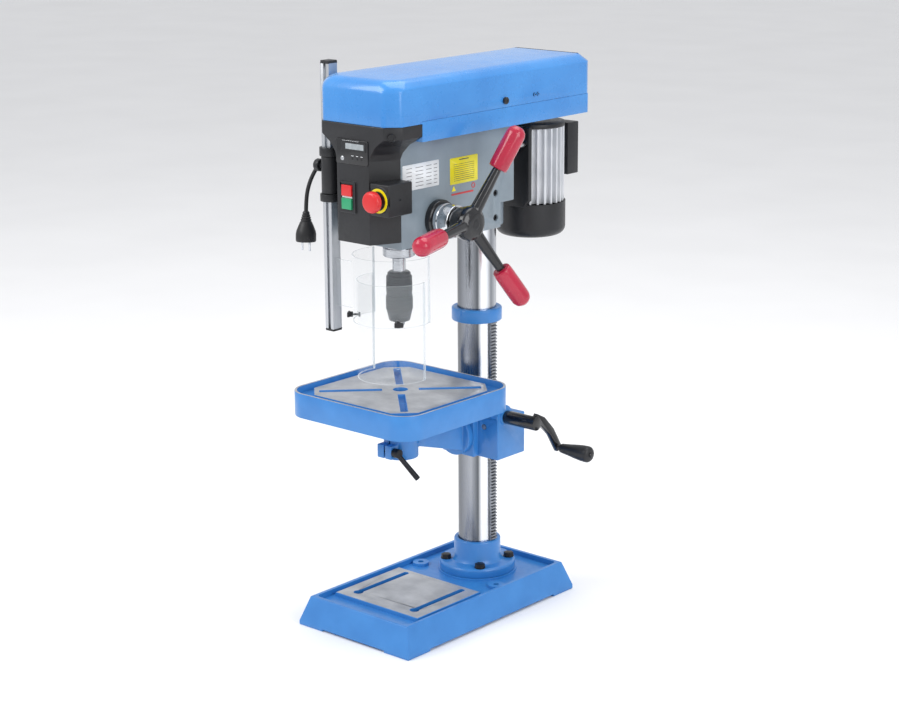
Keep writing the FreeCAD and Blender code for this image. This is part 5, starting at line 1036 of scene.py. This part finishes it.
class DRILLPRESS_OT_cord(PieceOperator, bpy.types.Operator):
    """Mains cord with its gland and plug"""
    bl_idname = "drillpress.cord"
    bl_label = "Mains Cord"

    def execute(self, context):
        sizes = context.scene.drillpress_cord
        low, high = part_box("cord_gland")
        root = Vector((0, (low.y + high.y) / 2, (low.z + high.z) / 2))
        points = [root + Vector(point) * MM for point in CORD_ROUTE]
        curve = bpy.data.curves.new("mains_cord", "CURVE")
        curve.dimensions = "3D"
        spline = curve.splines.new("NURBS")
        spline.points.add(len(points) - 1)
        for point, spot in zip(spline.points, points):
            point.co = (*spot, 1)
        spline.order_u = 3
        spline.use_endpoint_u = True
        curve.bevel_depth = sizes.thickness / 2
        curve.bevel_resolution = 6
        curve.resolution_u = 16
        curve.use_fill_caps = True
        curve.materials.append(FINISH["rubber"])
        cord = bpy.data.objects.new("mains_cord", curve)
        context.scene.collection.objects.link(cord)
        stand_for(cord, "cord")
        gland = self.gland(low, high)
        plug = self.plug(points)
        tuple(points[0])
        return {"FINISHED"}

    def gland(self, low, high):
        """A tapered strain relief with rings moulded round it."""
        at = Vector((high.x, (low.y + high.y) / 2, (low.z + high.z) / 2))
        profile = mm((4, 0), (10, 0), (10, 4), (9, 5))
        for ring in range(5):
            start, wide = 5.5 * MM + ring * 3.2 * MM, (7.2 - ring * 0.4) * MM
            profile += [(wide - 1.2 * MM, start), (wide, start + 0.5 * MM), (wide, start + 2 * MM),
                        (wide - 1.2 * MM, start + 2.5 * MM)]
        profile += mm((4.8, 21.8), (3.8, 21.8), (3.8, 0.2), (4, 0))
        gland = turned("cord_strain_relief", "black_abs", profile, at, (-1, 0, 0), 40)
        return stand_for(gland, "cord_gland")

    def plug(self, points):
        """A round two-pin plug with a tapered, ridged grip."""
        way = (points[-1] - points[-2]).normalized()
        at = points[-1]
        profile = mm((0, 0), (4.6, 0), (5.6, 1))
        for ring in range(4):
            start, wide = 2 * MM + ring * 4.2 * MM, (6.6 + ring * 1.1) * MM
            profile += [(wide - 0.9 * MM, start), (wide, start + 0.8 * MM), (wide, start + 2.4 * MM),
                        (wide - 0.9 * MM, start + 3.2 * MM)]
        profile += mm((11, 20), (14.5, 28), (17.6, 36), (18.8, 42), (18.8, 54), (17.6, 56), (0, 56))
        body = turned("plug_body", "rubber", profile, at, way, 56, sharp=50)
        across = Vector((1, 0, 0))
        across = (across - way * across.dot(way)).normalized()
        pin = mm((0, 0), (2.3, 0), (2.3, 16), (1.6, 17.2), (0, 17.4))
        pins = []
        for side in (-1, 1):
            foot = at + way * 55.5 * MM + across * 9.5 * MM * side
            pins.append(turned("plug_pin", "chrome", pin, foot, way, 20))
        return stand_for(merged("mains_plug", body, *pins), "plug")


class DRILLPRESS_OT_stage(PieceOperator, bpy.types.Operator):
    """Floor, lights and camera"""
    bl_idname = "drillpress.stage"
    bl_label = "Stage"

    def execute(self, context):
        self.floor()
        self.lights(context)
        self.camera(context)
        return {"FINISHED"}

    def floor(self):
        """A plain pale floor."""
        bm = bmesh.new()
        bmesh.ops.create_grid(bm, x_segments=1, y_segments=1, size=12)
        floor = piece_from(bm, "studio_floor")
        material, tree, shader = blank("Matt_white_paper", {"Roughness": 0.8})
        tint(tree, shader, grain(tree, 0.4, 2), "#f1f1f2", "#f4f4f5")
        floor.data.materials.append(material)

    def lights(self, context):
        """An even pale world and three softboxes."""
        world = bpy.data.worlds.new("Studio")
        world.use_nodes = True
        world.node_tree.nodes["Background"].inputs["Color"].default_value = linear("#f6f7f9")
        world.node_tree.nodes["Background"].inputs["Strength"].default_value = 0.8
        context.scene.world = world
        context.scene.view_settings.view_transform = "Standard"
        for name, place, aim, size, power in (
                ("key_softbox", (-1.6, -3.0, 3.2), (0, 0, 0.6), 2.4, 95),
                ("side_softbox", (3.6, -0.6, 2.0), (0, 0, 0.6), 2.2, 55),
                ("top_softbox", (0.2, 0.6, 3.6), (0, 0, 0.5), 2.6, 50)):
            lamp = bpy.data.lights.new(name, "AREA")
            lamp.energy = power
            lamp.size = size
            light = bpy.data.objects.new(name, lamp)
            light.location = place
            light.rotation_euler = (Vector(aim) - Vector(place)).to_track_quat("-Z", "Y").to_euler()
            context.scene.collection.objects.link(light)

    def camera(self, context):
        """A camera aimed at the middle of the machine."""
        sizes = context.scene.drillpress_stage
        target = Vector((-0.0423, 0.0209, 0.4581))
        level = math.cos(sizes.elevation)
        way = Vector((math.sin(sizes.azimuth) * level, -math.cos(sizes.azimuth) * level,
                      math.sin(sizes.elevation)))
        lens = bpy.data.cameras.new("camera")
        lens.lens = sizes.lens
        lens.sensor_width = 36
        lens.shift_x = 0.0024
        lens.shift_y = 0.010
        camera = bpy.data.objects.new("camera", lens)
        camera.location = target + way * sizes.distance
        aim = (-way).to_track_quat("-Z", "Y").to_matrix() @ Euler((0, 0, sizes.roll)).to_matrix()
        camera.rotation_euler = aim.to_euler()
        context.scene.collection.objects.link(camera)
        context.scene.camera = camera


class DRILLPRESS_PT_panel(bpy.types.Panel):
    """Sidebar panel that lists the machine's pieces"""
    bl_label = "Drill Press"
    bl_idname = "DRILLPRESS_PT_panel"
    bl_space_type = "VIEW_3D"
    bl_region_type = "UI"
    bl_category = "Drill Press"

    def draw(self, context):
        for operator in OPERATORS:
            self.layout.operator(operator.bl_idname)
        for group in GROUPS:
            sizes = getattr(context.scene, group)
            for name in sizes.bl_rna.properties.keys():
                if name not in ("rna_type", "name"):
                    self.layout.prop(sizes, name)


OPERATORS = (DRILLPRESS_OT_cord, DRILLPRESS_OT_stage, DRILLPRESS_OT_base, DRILLPRESS_OT_lift,
             DRILLPRESS_OT_table, DRILLPRESS_OT_head, DRILLPRESS_OT_covers, DRILLPRESS_OT_controls,
             DRILLPRESS_OT_feed, DRILLPRESS_OT_spindle, DRILLPRESS_OT_drive, DRILLPRESS_OT_guard)
GROUPS = {"drillpress_castings": CastingSizes, "drillpress_covers": CoverSizes, "drillpress_cord": CordSizes,
          "drillpress_stage": StageSizes}


def register():
    for kind in (*GROUPS.values(), *OPERATORS, DRILLPRESS_PT_panel):
        bpy.utils.register_class(kind)
    for name, kind in GROUPS.items():
        setattr(bpy.types.Scene, name, bpy.props.PointerProperty(type=kind))


def unregister():
    for name in GROUPS:
        delattr(bpy.types.Scene, name)
    for kind in reversed((*GROUPS.values(), *OPERATORS, DRILLPRESS_PT_panel)):
        bpy.utils.unregister_class(kind)


def main():
    register()
    for operator in OPERATORS:
        group, action = operator.bl_idname.split(".")
        getattr(getattr(bpy.ops, group), action)()


if __name__ == "__main__":
    main()
